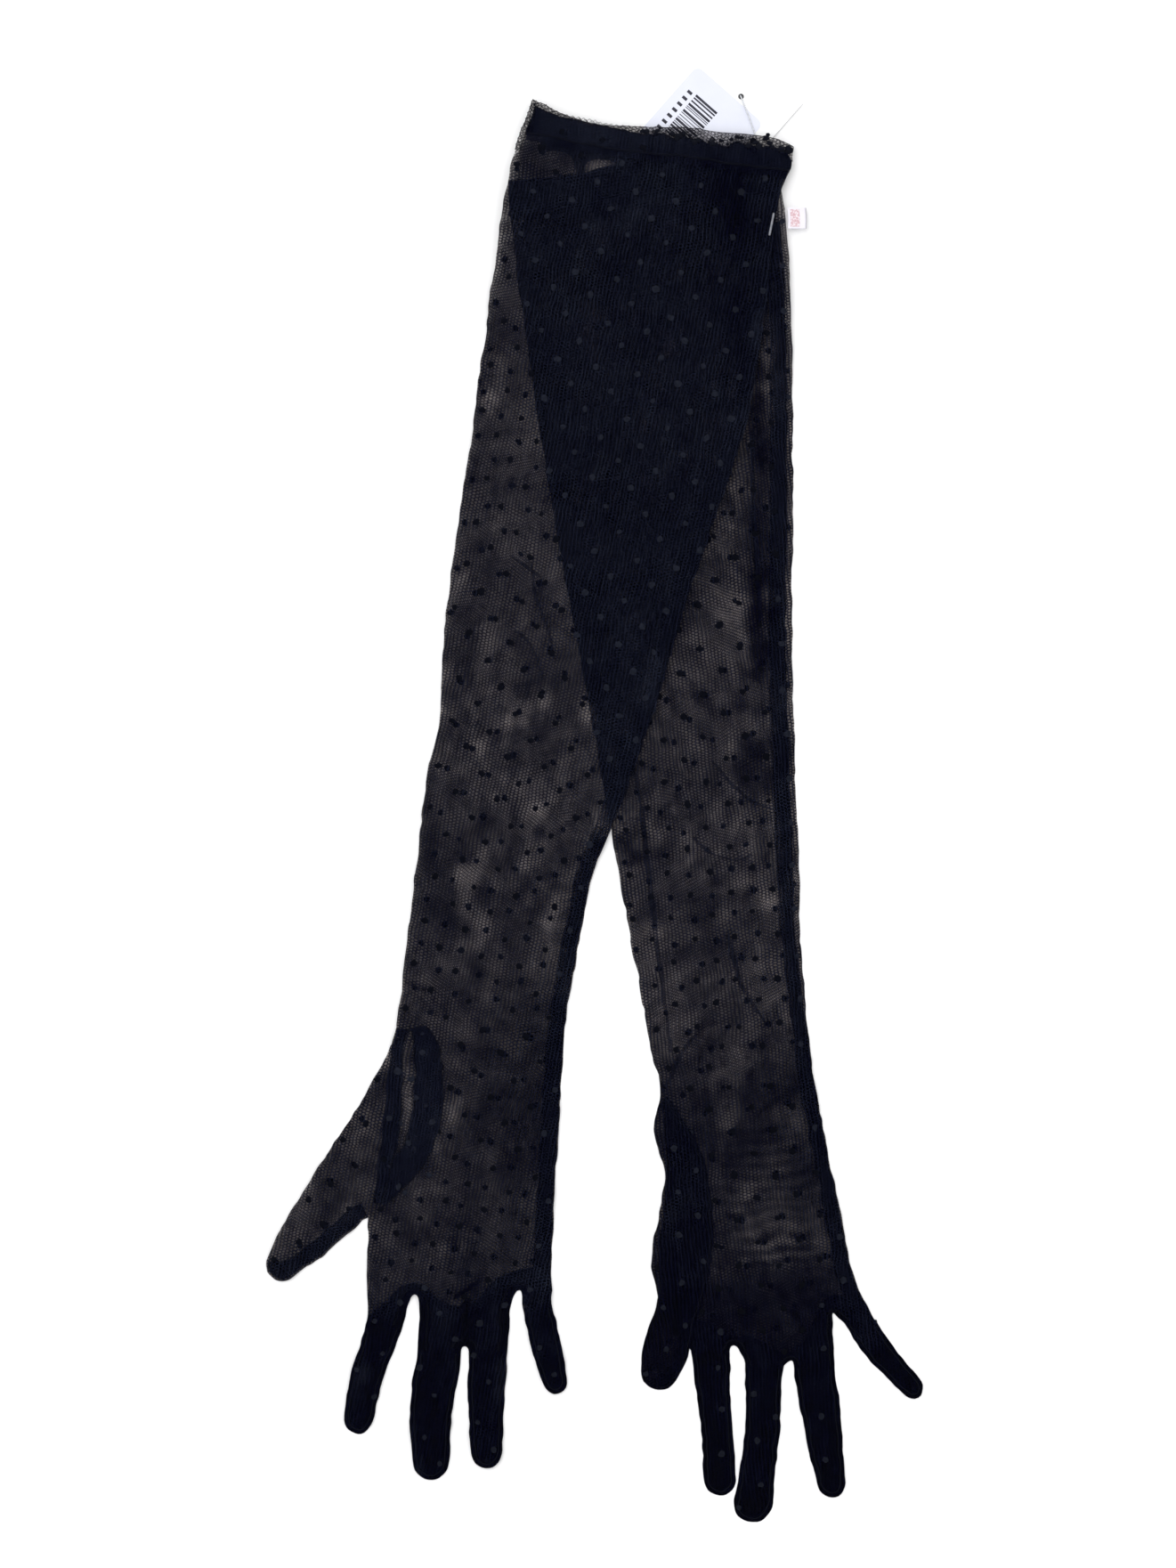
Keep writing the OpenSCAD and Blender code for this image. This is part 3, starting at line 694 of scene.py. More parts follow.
def cloth_of(glove, p, spin, seed, bias):
    """Each point's place in the cloth, turned with the glove and pulled about a little, and its sheerness, which also
    sets the painted shade or light of its yarn.
    """
    x, y = p[:, 0], p[:, 1]
    q = rotated(p, glove.axis + spin)
    q = q + np.stack([0.8 * field(x, y, 31, seed), 0.8 * field(x, y, 31, seed + 1)], 1)
    q = q + np.stack([0.26 * field(x, y, 9, seed + 2), 0.26 * field(x, y, 9, seed + 3)], 1)
    return np.column_stack([q, glove.sheer(p) + 0.25 * field(x, y, 12, seed + 4) + bias])


def surface(sheet, glove, p, faces, height, spin, seed, slot=0, bias=0.0):
    """Adds one layer of net with that height over the plane, facing up."""
    if area(p[faces[len(faces) // 2]]) < 0:
        faces = [f[::-1] for f in faces]
    co = np.column_stack([ragged(p), height(p)])
    sheet.add(co, faces, cloth_of(glove, p, spin, seed, bias), slot)


DOT_COLUMNS, DOT_ROWS, DOT_R = 17.7, 9.6, 1.4


def dots(sheet, glove, loop, height, seed, slot=1, spin=0.0):
    """Woven dots in staggered rows along the glove, each a low irregular dome."""
    axis = glove.axis + spin
    rng = np.random.default_rng(seed)
    phase = rng.uniform(0, 1, 2) * (DOT_COLUMNS, DOT_ROWS)
    local = rotated(loop, axis)
    lo, hi = local.min(0), local.max(0)
    spots = []
    for j in range(int((hi[1] - lo[1]) / DOT_ROWS) + 3):
        for i in range(int((hi[0] - lo[0]) / DOT_COLUMNS) + 3):
            spots.append((lo[0] - phase[0] + DOT_COLUMNS * (i + 0.5 * (j % 2)),
                          lo[1] - phase[1] + DOT_ROWS * j))
    spots = rotated(np.array(spots) + rng.normal(0, 0.4, (len(spots), 2)), -axis)
    spots = spots[inside(spots, loop)]
    if not len(spots):
        return
    spots = spots[Edge(segments_of(loop)).away(spots) > DOT_R + 0.3]
    sides = 12
    angles = np.arange(sides) * 2 * math.pi / sides
    for spot, painted_sheen, open_and_shade in zip(spots, glove.doubled(spots), glove.sheer(spots)):
        size = DOT_R * rng.uniform(0.85, 1.12)
        rim = size * rng.uniform(0.78, 1.12, sides)
        ring = np.stack([np.cos(angles), np.sin(angles)], 1)
        p = np.vstack([spot[None], spot + ring * rim[:, None] * 0.6, spot + ring * rim[:, None]])
        z = height(p) + np.concatenate([[0.3], np.full(sides, 0.25), np.full(sides, 0.1)])
        faces = [[0, 1 + k, 1 + (k + 1) % sides] for k in range(sides)]
        faces += [[1 + k, 1 + sides + k, 1 + sides + (k + 1) % sides, 1 + (k + 1) % sides]
                  for k in range(sides)]
        sheet.add(np.column_stack([ragged(p), z]), faces, np.tile((painted_sheen, open_and_shade, 0.0), (len(p), 1)), slot)


def ride_or_blend(piece, bodies):
    if len(bodies) == 1:
        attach(piece, bodies[0])
    else:
        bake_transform(piece)


def ply(glove, part, node, height, loop, bodies, spin, seed, spacing, bias=0.0):
    """One ply of net with its woven dots."""
    sheet = Sheet()
    points, faces = filled(loop, spacing)
    surface(sheet, glove, points, faces, height, spin, seed, bias=bias)
    dots(sheet, glove, loop, height, seed + 500, spin=2 * spin)
    piece = sheet.piece(f"{node}_net", [NET, DOT])
    ride_or_blend(piece, bodies)
    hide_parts(node)
    return piece


def band(path, offsets):
    """A grid of points across a path: a row for each of its points, and a column for each offset to the
    path's left. An offset is a number or a list along the path."""
    ahead = np.gradient(path, axis=0)
    ahead /= np.linalg.norm(ahead, axis=1)[:, None]
    left = np.stack([-ahead[:, 1], ahead[:, 0]], 1)
    columns = [path + left * np.broadcast_to(o, len(path))[:, None] for o in offsets]
    points = np.stack(columns, 1).reshape(-1, 2)
    wide = len(offsets)
    faces = [[r * wide + c, r * wide + c + 1, (r + 1) * wide + c + 1, (r + 1) * wide + c]
             for r in range(len(path) - 1) for c in range(wide - 1)]
    return points, faces


def evenly(path, spacing):
    path = np.asarray(path, float)
    lengths = np.append(0, np.cumsum(np.linalg.norm(np.diff(path, axis=0), axis=1)))
    t = np.linspace(0, lengths[-1], max(2, round(lengths[-1] / spacing) + 1))
    return np.stack([np.interp(t, lengths, path[:, k]) for k in (0, 1)], 1)


def run_of(loop, start, end):
    """The part of a loop from the point nearest start to the one nearest end, forwards."""
    a = int(np.linalg.norm(loop - start, axis=1).argmin())
    b = int(np.linalg.norm(loop - end, axis=1).argmin())
    if b < a:
        b += len(loop)
    return loop[np.arange(a, b + 1) % len(loop)]


def thread(sheet, line, radius, slot):
    """A thin three-sided tube along a line of points in space."""
    ahead = np.gradient(line, axis=0)
    ahead /= np.linalg.norm(ahead, axis=1)[:, None] + 1e-9
    side = np.cross(ahead, (0, 0, 1.0))
    side /= np.linalg.norm(side, axis=1)[:, None] + 1e-9
    up = np.cross(side, ahead)
    rings = [line + radius * (math.cos(a) * side + math.sin(a) * up) for a in (0.52, 2.62, 4.71)]
    co = np.stack(rings, 1).reshape(-1, 3)
    faces = [[3 * r + k, 3 * r + (k + 1) % 3, 3 * r + 3 + (k + 1) % 3, 3 * r + 3 + k]
             for r in range(len(line) - 1) for k in range(3)]
    faces += [[2, 1, 0], [3 * len(line) - 3, 3 * len(line) - 2, 3 * len(line) - 1]]
    sheet.add(co, faces, np.zeros((len(co), 3)), slot)


def zigzag(path, period, swing, height):
    """A stitch line that swings from side to side of a path."""
    dense = evenly(path, period / 2)
    ahead = np.gradient(dense, axis=0)
    ahead /= np.linalg.norm(ahead, axis=1)[:, None]
    left = np.stack([-ahead[:, 1], ahead[:, 0]], 1)
    points = dense + left * (swing * (-1.0) ** np.arange(len(dense)))[:, None]
    return np.column_stack([ragged(points), height(points)])


# The gloves ----------------------------------------------------------------------------------------

def cross_fold(glove, part):
    """Where a piece bends from one body to the next: the fold line, and how far past it."""
    if part == "hand":
        y = glove.wrist
        return (0, y * MM, 0), (0, (y - 8) * MM, 0)
    if part in FINGERS:
        y = glove.finger_ends[part][0, 1]
        return (0, y * MM, 0), (0, (y - 9) * MM, 0)
    if glove.name == "upper":
        a, b = np.array((-86.6, -117.0)), np.array((-97.7, -192.0))
        out = np.array((-(a - b)[1], (a - b)[0])) / np.linalg.norm(a - b)
        middle = (a + b) / 2
        return (*(middle * MM), 0), (*((middle + 7 * out) * MM), 0)
    return (0.028, -0.1985, 0), (0.034, -0.1988, 0)


def corners_of(glove):
    """The cuff's right and left corners."""
    loop = glove.loops["sleeve"]
    high = loop[loop[:, 1] > loop[:, 1].max() - 24]
    return high[(high[:, 0] - 0.3 * high[:, 1]).argmax()], high[(high[:, 0] - 0.2 * high[:, 1]).argmin()]


def trimmed(glove, depth):
    """The sleeve's outline with its cuff cut back by a depth along it."""
    loop = glove.loops["sleeve"].copy()
    right, left = corners_of(glove)
    run = run_of(loop, right, left)
    first = int(np.linalg.norm(loop - run[0], axis=1).argmin())
    at = np.arange(first, first + len(run)) % len(loop)
    ahead = np.gradient(run, axis=0)
    inward = np.stack([-ahead[:, 1], ahead[:, 0]], 1) / np.linalg.norm(ahead, axis=1)[:, None]
    inward[0] = inward[-1] = (0, -1)
    loop[at] = run + inward * depth(run)[:, None]
    return loop


def upper_trim(run):
    """How far the near ply's edge lies below the far one's along the upper cuff."""
    x = run[:, 0]
    right = 2.3 * step(x, 2, 16) + 2.2 * step(x, 24, 36) * step(x, 79, 71)
    left = 1.5 * (1 - step(x, -14, -8))
    return 0.35 + right + left + (0.25 + 0.3 * right) * field(x, 0 * x, 3.2, 71)


def lower_trim(run):
    return 0.4 + 0.3 * field(run[:, 0], 0 * run[:, 0], 4, 72)


def part_of(loop, line, below=True):
    """The part of a loop on one side of a line across it."""
    at = np.interp(loop[:, 0], *line.T)
    on = loop[:, 1] < at if below else loop[:, 1] > at
    start = int(np.flatnonzero(on & ~np.roll(on, 1))[0])
    run = []
    for k in range(len(loop)):
        if not on[(start + k) % len(loop)]:
            break
        run.append(loop[(start + k) % len(loop)])
    way = math.copysign(1, run[0][0] - run[-1][0])
    across = np.arange(run[-1][0] + 1.2 * way, run[0][0] - 1.2 * way, 1.6 * way)
    return np.vstack([run, np.column_stack([across, np.interp(across, *line.T)])])


def add_layers(sheet, glove, points, faces, heights, seed, slot=0, bias=0.0):
    for k, height in enumerate(heights):
        surface(sheet, glove, points, faces, height, (3, -4, 6, -2)[k % 4], seed + 11 * k, slot, bias)


def finish_piece(sheet, name, node, materials, bodies):
    piece = sheet.piece(name, materials)
    ride_or_blend(piece, bodies)
    if node:
        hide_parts(node)
    return piece


STITCH_LINES = {
    "lower": [(-400, 240), (-38, 241), (-5, 244), (10, 248.5), (40, 251.5), (68, 249), (400, 245)],
    "upper": [(-400, 290), (-29.6, 275), (8.7, 267.7), (33, 265), (82, 258.6), (400, 250)],
}
# The turned net's loose edge inside the upper cuff, which stops short of its left side and of one gap
LOOSE_EDGE = [(-23.5, 274), (-24, 267.5), (-17, 268), (-10, 266.5), (-8.6, 261), (-8, 252), (-5.8, 252), (-5, 259.5),
              (-2.5, 263.5), (3, 264.4), (9, 263.8), (11, 258), (18, 252), (60, 250), (62, 262), (30, 267), (8, 270)]


def cuff_hem(glove, trim, seed):
    """The turned hem: two more layers on the outer face of each ply, a ragged raw edge, and a stitch line with a
    painted shadow below it.
    """
    g = glove.name
    right, left = corners_of(glove)
    run = evenly(run_of(glove.loops["sleeve"], right, left), 1.0)[1:-1]
    top = trim(run)
    line = np.array(STITCH_LINES[g], float)
    region = part_of(trimmed(glove, trim), line, below=False)
    points, faces = filled(region, 2.0)
    sheet = Sheet()
    add_layers(sheet, glove, points, faces, [glove.above(0.15), glove.above(0.32)], seed)
    add_layers(sheet, glove, points, faces, [glove.beneath(0.12), glove.beneath(0.22)], seed + 50)
    dots(sheet, glove, region, glove.above(0.34), seed + 7, 2)
    on_line = region[np.abs(region[:, 1] - np.interp(region[:, 0], *line.T)) < 0.05]
    x = np.arange(on_line[:, 0].min() - 0.8, on_line[:, 0].max() + 0.8, 1.0)
    stitch = np.column_stack([x, np.interp(x, *line.T) + 0.6])
    for swing, lift in ((0.45, 0.42), (-0.45, 0.46)):
        thread(sheet, zigzag(stitch, 1.7, swing, glove.above(lift)), 0.14, 1)
    # Two strips of net along the stitch line with their yarn painted darker: a narrow dark line on the stitch, and
    # below it a wider strip that is a painted shadow.
    for drop, spread, bias in ((0.5, 0.55, -1.5), (1.9, 1.3, -0.8)):
        points, faces = band(stitch - (0, drop), [-spread, 0, spread])
        add_layers(sheet, glove, points, faces, [glove.above(0.36)], seed + 9, bias=bias)
    ahead = np.gradient(run, axis=0)
    left_of = np.stack([-ahead[:, 1], ahead[:, 0]], 1) / np.linalg.norm(ahead, axis=1)[:, None]
    rough = run + left_of * (top + 0.3)[:, None]
    fray = zigzag(rough, 1.3, 0.55, glove.above(0.35))
    fray[:, 2] += 0.35 * np.abs(field(fray[:, 0], fray[:, 1], 1.1, seed + 3))
    thread(sheet, fray, 0.2, 1)
    thread(sheet, np.column_stack([ragged(run), glove.bottom(run) + 0.1]), 0.16, 1)
    if g == "upper":
        raw = top > 1.6
        for share, lift in ((0.12, 0.1), (0.36, 0.2), (0.6, 0.12), (0.84, 0.22)):
            row = (run + left_of * (top * share)[:, None])[raw]
            thread(sheet, zigzag(row, 2.3 + share, 0.62, lambda p, l=lift: glove.bottom(p) + l), 0.15, 1)
        frayed_tufts(sheet, glove, (rough - left_of * (0.25 * top)[:, None])[rough[:, 0] > 20], seed + 6)
        loose = resampled(np.array(LOOSE_EDGE, float)[::-1], 1.5)
        points, faces = filled(loose if area(loose) > 0 else loose[::-1], 2.2)
        add_layers(sheet, glove, points, faces, [glove.beneath(0.3), glove.beneath(0.4)], seed + 80, bias=-0.3)
    return finish_piece(sheet, f"{g}_cuff_hem_band", f"{g}_cuff_hem", [NET_DENSE, THREAD, DOT],
                        [f"{g}_sleeve"])


def frayed_tufts(sheet, glove, line, seed):
    """Crumpled lumps of raw edge along a line, each a low knobbly heap."""
    rng = np.random.default_rng(seed)
    around = np.arange(11) * 2 * math.pi / 11
    spots = [line[k] + rng.normal(0, (0.7, 1.1)) for k in range(0, len(line), 2) if rng.uniform() < 0.85]
    spots += [(74.5, 274.6), (73.6, 273.2)]
    for k, spot in enumerate(spots):
        size = rng.uniform(0.6, 1.6)
        rings = []
        for share, lift in ((1.0, 0.0), (0.75, 0.55), (0.35, 0.8)):
            reach = size * share * rng.uniform(0.65, 1.25, 11)
            ring = np.stack([np.cos(around) * reach * 1.2, np.sin(around) * reach], 1) + spot
            rings.append(np.column_stack([ring, np.full(11, lift) * size * rng.uniform(0.6, 1.0, 11)]))
        co = np.vstack(rings + [[[*spot, 0.75 * size]]])
        co[:, 2] += glove.top(np.repeat(np.array(spot)[None], len(co), 0)) + 0.25
        faces = [[r * 11 + c, r * 11 + (c + 1) % 11, r * 11 + 11 + (c + 1) % 11, r * 11 + 11 + c]
                 for r in (0, 1) for c in range(11)]
        faces += [[22 + c, 22 + (c + 1) % 11, 33] for c in range(11)]
        sheet.add(co, faces, np.zeros((len(co), 3)), 1)


def side_seam(glove, part, inset, width, seed):
    """The seam's allowances inside the glove, two layers of net, with the overlock thread on their edge."""
    g = glove.name
    loop = glove.loops[part]
    if part == "sleeve":
        right, _ = corners_of(glove)
        run = run_of(loop, glove.wrist_ends[1], right - (0, 3))
        bodies, fold, node = [f"{g}_sleeve"], None, f"{g}_side_seam"
    else:
        run = run_of(loop, glove.finger_ends["little"][1], glove.wrist_ends[1])
        bodies, fold, node = [f"{g}_sleeve", f"{g}_hand"], cross_fold(glove, "hand"), f"{g}_hand_seam"
    run = evenly(run, 1.5)
    near = inset(run)
    wide = width(run) + 0.45 * field(run[:, 0], run[:, 1], 10, seed)
    sheet = Sheet()
    narrow = 0.7 + 0.12 * field(run[:, 0], run[:, 1], 6, seed + 3)
    for share, lift in ((1.0, 0.3), (narrow, 0.62)):
        points, faces = band(run, [near + wide * share * t for t in np.linspace(0, 1, 5)])
        add_layers(sheet, glove, points, faces, [glove.between(lift)], seed + round(20 * lift), bias=-0.4)
    ahead = np.gradient(run, axis=0)
    left = np.stack([-ahead[:, 1], ahead[:, 0]], 1) / np.linalg.norm(ahead, axis=1)[:, None]
    for at, swing in ((near + 0.5, 0.3), (near + wide - 0.5, 0.5)):
        thread(sheet, zigzag(run + left * at[:, None], 1.9, swing, glove.between(0.75)), 0.12, 1)
    return finish_piece(sheet, f"{g}_{part}_seam_allowance", node, [NET_DENSE, THREAD], bodies)


def inset_loop(loop, depth):
    before, ahead = loop - np.roll(loop, 1, 0), np.roll(loop, -1, 0) - loop
    along = before / np.linalg.norm(before, axis=1)[:, None] + ahead / np.linalg.norm(ahead, axis=1)[:, None]
    along /= np.linalg.norm(along, axis=1)[:, None]
    return loop + depth * np.stack([-along[:, 1], along[:, 0]], 1)


def fourchette(glove, finger, seed):
    """A finger's side gussets, folded in between its plies, with the seams that join them."""
    g = glove.name
    loop = glove.loops[finger]
    ends = glove.finger_ends[finger]
    sheet = Sheet()
    inner = inset_loop(loop, 0.5)
    inner[:, 1] = np.where(inner[:, 1] > ends[0, 1] - 0.6, ends[0, 1] + 1.6, inner[:, 1])
    points, faces = filled(inner, 1.9)
    add_layers(sheet, glove, points, faces, [glove.between(0.3), glove.between(0.65)], seed)
    rim = evenly(run_of(inset_loop(loop, 0.2), ends[0], ends[1])[1:-1], 1.3)
    points, faces = band(rim, [0.0, 0.9, 1.9 + 0.3 * field(rim[:, 0], rim[:, 1], 5, seed)])
    keep = points[:, 1] < ends[0, 1] + 0.5
    faces = [f for f in faces if keep[f].all()]
    add_layers(sheet, glove, points, faces, [glove.above(0.08)], seed + 5, bias=-1.0)
    edge = run_of(inset_loop(loop, 1.9), ends[0], ends[1])[1:-1]
    for lift, swing in ((0.1, 0.22), (0.12, -0.22)):
        thread(sheet, zigzag(edge, 1.5, swing, glove.above(lift)), 0.11, 1)
    bodies = [f"{g}_hand", f"{g}_{finger}"]
    return finish_piece(sheet, f"{g}_{finger}_fourchette_net", f"{g}_{finger}_fourchette",
                        [NET_DENSE, THREAD], bodies)


def knuckle_seams(glove, seed):
    """The ends of the side gussets: two more layers across the knuckles, sewn in round each crotch."""
    g = glove.name
    sheet = Sheet()
    region = part_of(glove.loops["hand"], glove.dark_line)
    points, faces = filled(region, 2.2)
    add_layers(sheet, glove, points, faces, [glove.between(0.35), glove.between(0.65)], seed)
    depth = 4.0 if g == "upper" else 2.6
    for k, (a, b) in enumerate(zip(FINGERS, FINGERS[1:])):
        run = evenly(run_of(glove.loops["hand"], glove.finger_ends[a][1], glove.finger_ends[b][0]), 1.2)
        wide = depth + 0.4 * field(run[:, 0], run[:, 1], 5, seed + k)
        points, faces = band(run, [0.25 + wide * t for t in np.linspace(0, 1, 4)])
        add_layers(sheet, glove, points, faces, [glove.above(0.1)], seed + k, bias=-1.6)
        ahead = np.gradient(run, axis=0)
        left = np.stack([-ahead[:, 1], ahead[:, 0]], 1) / (np.linalg.norm(ahead, axis=1)[:, None] + 1e-9)
        thread(sheet, zigzag(run + left * (wide - 0.3)[:, None], 1.5, 0.3, glove.above(0.2)), 0.14, 1)
    if g == "upper":
        gathered(sheet, glove, [(-55.5, -229), (-57.2, -234), (-56.6, -240), (-56, -247)], seed + 30)
        gathered(sheet, glove, [(-61, -227), (-57, -224.5), (-50, -220)], seed + 40, 0.35)
    return finish_piece(sheet, f"{g}_knuckle_seams", None, [NET_DENSE, THREAD], [f"{g}_hand"])


def gathered(sheet, glove, path, seed, size=1.0):
    """A few tucks of net drawn together along a seam."""
    rng = np.random.default_rng(seed)
    centre = smooth_curve(np.array(path, float), 6)
    for k in range(4):
        shifted = centre + rng.normal(0, 0.7 * size, 2) + rng.normal(0, 0.25, centre.shape)
        points, faces = band(shifted, [-1.1 * size, -0.4 * size, 0.4 * size, 1.1 * size])
        rise = np.tile([0, 0.5, 0.5, 0], len(shifted)) * size
        lift = glove.top(points) + 0.15 + 0.1 * k + rise
        sheet.add(np.column_stack([points, lift]), [f[::-1] for f in faces],
                  cloth_of(glove, points, 3 * k, seed + k, -1.8 * size ** 0.5))


def between_lines(a, b, rows, columns):
    """A grid of points from one line to another, each given by a few points."""
    a, b = smooth_curve(np.array(a, float), 8), smooth_curve(np.array(b, float), 8)
    a, b = (evenly(p, np.linalg.norm(np.diff(p, axis=0), axis=1).sum() / (rows - 1))[:rows] for p in (a, b))
    rows = min(len(a), len(b))
    t = np.linspace(0, 1, columns)[None, :, None]
    points = (a[:rows, None] * (1 - t) + b[:rows, None] * t).reshape(-1, 2)
    faces = [[r * columns + c, r * columns + c + 1, (r + 1) * columns + c + 1, (r + 1) * columns + c]
             for r in range(rows - 1) for c in range(columns - 1)]
    return points, faces


def thumb_gusset(glove, seed):
    """The lens of double net let into the upper glove's palm, which a slit down its middle leaves open."""
    left = [(-86, -111), (-88.5, -124), (-91.5, -150), (-94, -172), (-95.5, -186)]
    strip_left = [(-80.4, -111), (-82.6, -121), (-83.9, -146), (-85.6, -161), (-88, -168), (-92, -186)]
    strip_right = [(-80.2, -111), (-77.9, -121), (-79.4, -146), (-83, -161), (-87.8, -168), (-91.8, -186)]
    right = [(-73, -110), (-67, -121), (-66, -143), (-71.5, -166), (-90, -187)]
    sheet = Sheet()
    for a, b in ((left, strip_left), (strip_right, right)):
        points, faces = between_lines(a, b, 44, 6)
        add_layers(sheet, glove, points, faces, [glove.above(0.12), glove.above(0.26)], seed)
    dots(sheet, glove, np.array(left + right[::-1], float), glove.above(0.3), seed + 5, 2)
    for line in (strip_left, strip_right, right):
        path = smooth_curve(np.array(line, float), 8)
        thread(sheet, zigzag(path, 1.6, 0.3, glove.above(0.34)), 0.12, 1)
    return finish_piece(sheet, "upper_thumb_gusset_net", "upper_thumb_gusset",
                        [NET_DENSE, THREAD, DOT], ["upper_hand"])


def upper_thumb_seam(glove, seed):
    """The thumb's seam allowance, down its inner side and round the tip."""
    loop = glove.loops["thumb"]
    tip = loop[(loop[:, 0] + loop[:, 1]).argmin()]
    run = evenly(run_of(loop, tip + (-4, 6), glove.shared[0]), 1.4)
    wide = 6.2 + 0.8 * field(run[:, 0], run[:, 1], 9, seed)
    points, faces = band(run, [1.0 + wide * t for t in np.linspace(0, 1, 5)])
    sheet = Sheet()
    add_layers(sheet, glove, points, faces, [glove.between(0.3), glove.between(0.65)], seed)
    ahead = np.gradient(run, axis=0)
    left = np.stack([-ahead[:, 1], ahead[:, 0]], 1) / np.linalg.norm(ahead, axis=1)[:, None]
    for at in (0.8, 7.0):
        thread(sheet, zigzag(run + left * at, 1.6, 0.3, glove.between(0.8)), 0.12, 1)
    return finish_piece(sheet, "upper_thumb_seam_allowance", "upper_thumb_seam",
                        [NET_DENSE, THREAD], ["upper_hand", "upper_thumb"])


def lower_thumb_seam(glove, base, lid, seed):
    """The folded thumb's seam allowance, inside it along its free edge."""
    loop = glove.loops["thumb"]
    tip = loop[loop[:, 1].argmin()]
    high = loop[loop[:, 1].argmax()]
    run = evenly(run_of(loop, tip, high), 1.5)
    points, faces = band(run, [0.6 + 4.5 * t for t in np.linspace(0, 1, 4)])
    sheet = Sheet()
    between = [lambda p, s=s: base(p) + s * (lid(p) - base(p)) for s in (0.33, 0.66)]
    add_layers(sheet, glove, points, faces, between, seed)
    ahead = np.gradient(run, axis=0)
    left = np.stack([-ahead[:, 1], ahead[:, 0]], 1) / np.linalg.norm(ahead, axis=1)[:, None]
    thread(sheet, zigzag(run + left * 1.2, 1.6, 0.3, lambda p: lid(p) + 0.1), 0.12, 1)
    return finish_piece(sheet, "lower_thumb_seam_allowance", "lower_thumb_seam",
                        [NET_DENSE, THREAD], ["lower_hand", "lower_thumb"])


def pressed_fold(glove, name, path, width, seed, bias=-0.5, bodies=("lower_sleeve",)):
    """A fold pressed into the top ply, which doubles the net along a line. Its bias opens or closes the strip's net
    and paints its yarn lighter or darker along the fold, as painted light or painted shade.
    """
    run = evenly(smooth_curve(np.array(path, float), 8), 1.5)
    taper = width * np.sin(np.linspace(0.15, 1, len(run)) * math.pi * 0.95) ** 0.5
    wide = np.maximum(taper, 0.4) * (1 + 0.2 * field(run[:, 0], run[:, 1], 9, seed))
    points, faces = band(run, [wide * t for t in (-0.5, -0.17, 0.17, 0.5)])
    sheet = Sheet()
    heights = [glove.above(0.12)]
    add_layers(sheet, glove, points, faces, heights, seed, bias=bias)
    return finish_piece(sheet, name, None, [NET], list(bodies))


def build_glove(glove, seed):
    g = glove.name
    face_up, face_down = ("back", "palm") if g == "lower" else ("palm", "back")
    trim = lower_trim if g == "lower" else upper_trim
    for part, loop in glove.loops.items():
        if part == "sleeve":
            bodies, nodes, spacing = [f"{g}_sleeve"], (f"{g}_sleeve_back", f"{g}_sleeve_palm"), 2.4
            loops = (loop, trimmed(glove, trim))
        else:
            first = f"{g}_sleeve" if part == "hand" else f"{g}_hand"
            bodies = [first, f"{g}_{part}"]
            nodes, spacing = (f"{g}_{part}_{face_down}", f"{g}_{part}_{face_up}"), 1.9
            loops = (loop, loop)
        heights = (glove.bottom, glove.top)
        if g == "lower" and part == "thumb":
            heights = folded_thumb_heights(glove)
            lower_thumb_seam(glove, *heights, seed + 9)
        for k, (node, height, cut) in enumerate(zip(nodes, heights, loops)):
            bias = -0.4 if part in FINGERS or (g, part) == ("lower", "thumb") else 0.0
            ply(glove, part, node, height, cut, bodies, (-0.9, 1.3)[k], seed + 37 * k, spacing, bias)
        if part in FINGERS:
            fourchette(glove, part, seed + 300 + 7 * FINGERS.index(part))
    cuff_hem(glove, trim, seed + 400)
    knuckle_seams(glove, seed + 420)


def folded_thumb_heights(glove):
    """The lower glove's thumb lies on its palm, and comes down to the hand's edge at the fold."""
    loop = glove.loops["thumb"]
    hand = glove.loops["hand"]
    free = Edge(segments_of(loop))

    def base(p):
        on_palm = glove.top(p) + 0.3
        from_fold = p[:, 0] - (28 + (p[:, 1] + 139) * 6 / 119)
        edge = glove.bottom(p) + 0.1
        in_hand = step(glove.hand_edge.away(p) * np.where(inside(p, hand), 1, -1), -2, 2)
        return edge + (on_palm - edge) * step(from_fold, 0, 5) * in_hand

    def lid(p):
        return base(p) + 0.05 + (0.9 + 0.3 * field(p[:, 0], p[:, 1], 12, 91)) * step(free.away(p), 0, 3.5)

    return base, lid


build_glove(lower, 100)
build_glove(upper, 200)
side_seam(lower, "sleeve", lambda p: 0.5 + 2.1 * step(p[:, 1], -120, -60), lambda p: 6.0 + 1.2 * step(p[:, 1], -90, -20), 501)
side_seam(lower, "hand", lambda p: 0.5 + 0 * p[:, 0], lambda p: 6.3 + 0 * p[:, 0], 502)
side_seam(upper, "sleeve", lambda p: 0.4 + 0 * p[:, 0], lambda p: 6.6 + 0 * p[:, 0], 503)
side_seam(upper, "hand", lambda p: 0.4 + 0 * p[:, 0], lambda p: 7.4 + 0 * p[:, 0], 504)
thumb_gusset(upper, 520)
upper_thumb_seam(upper, 530)
pressed_fold(lower, "lower_sleeve_long_fold", [(16, 8), (19.5, -14), (24, -52), (29, -90), (33, -121)], 2.2, 541, 0.5)
pressed_fold(lower, "lower_sleeve_side_fold", [(67.6, 148), (68, 120), (69.5, 90), (71.8, 62)], 1.8, 542, 0.5)
pressed_fold(lower, "lower_sleeve_slant_fold", [(56.8, -68.5), (60, -82), (64, -93.6), (73.4, -108)], 2.0, 543, 0.5)
pressed_fold(lower, "lower_sleeve_elbow_crease", [(50, 5), (59, -5), (69, -13), (78, -17)], 1.5, 546, 0.6)
pressed_fold(lower, "lower_sleeve_middle_crease", [(42, -28), (50, -35), (60, -38), (67, -36)], 1.4, 547, 0.7)
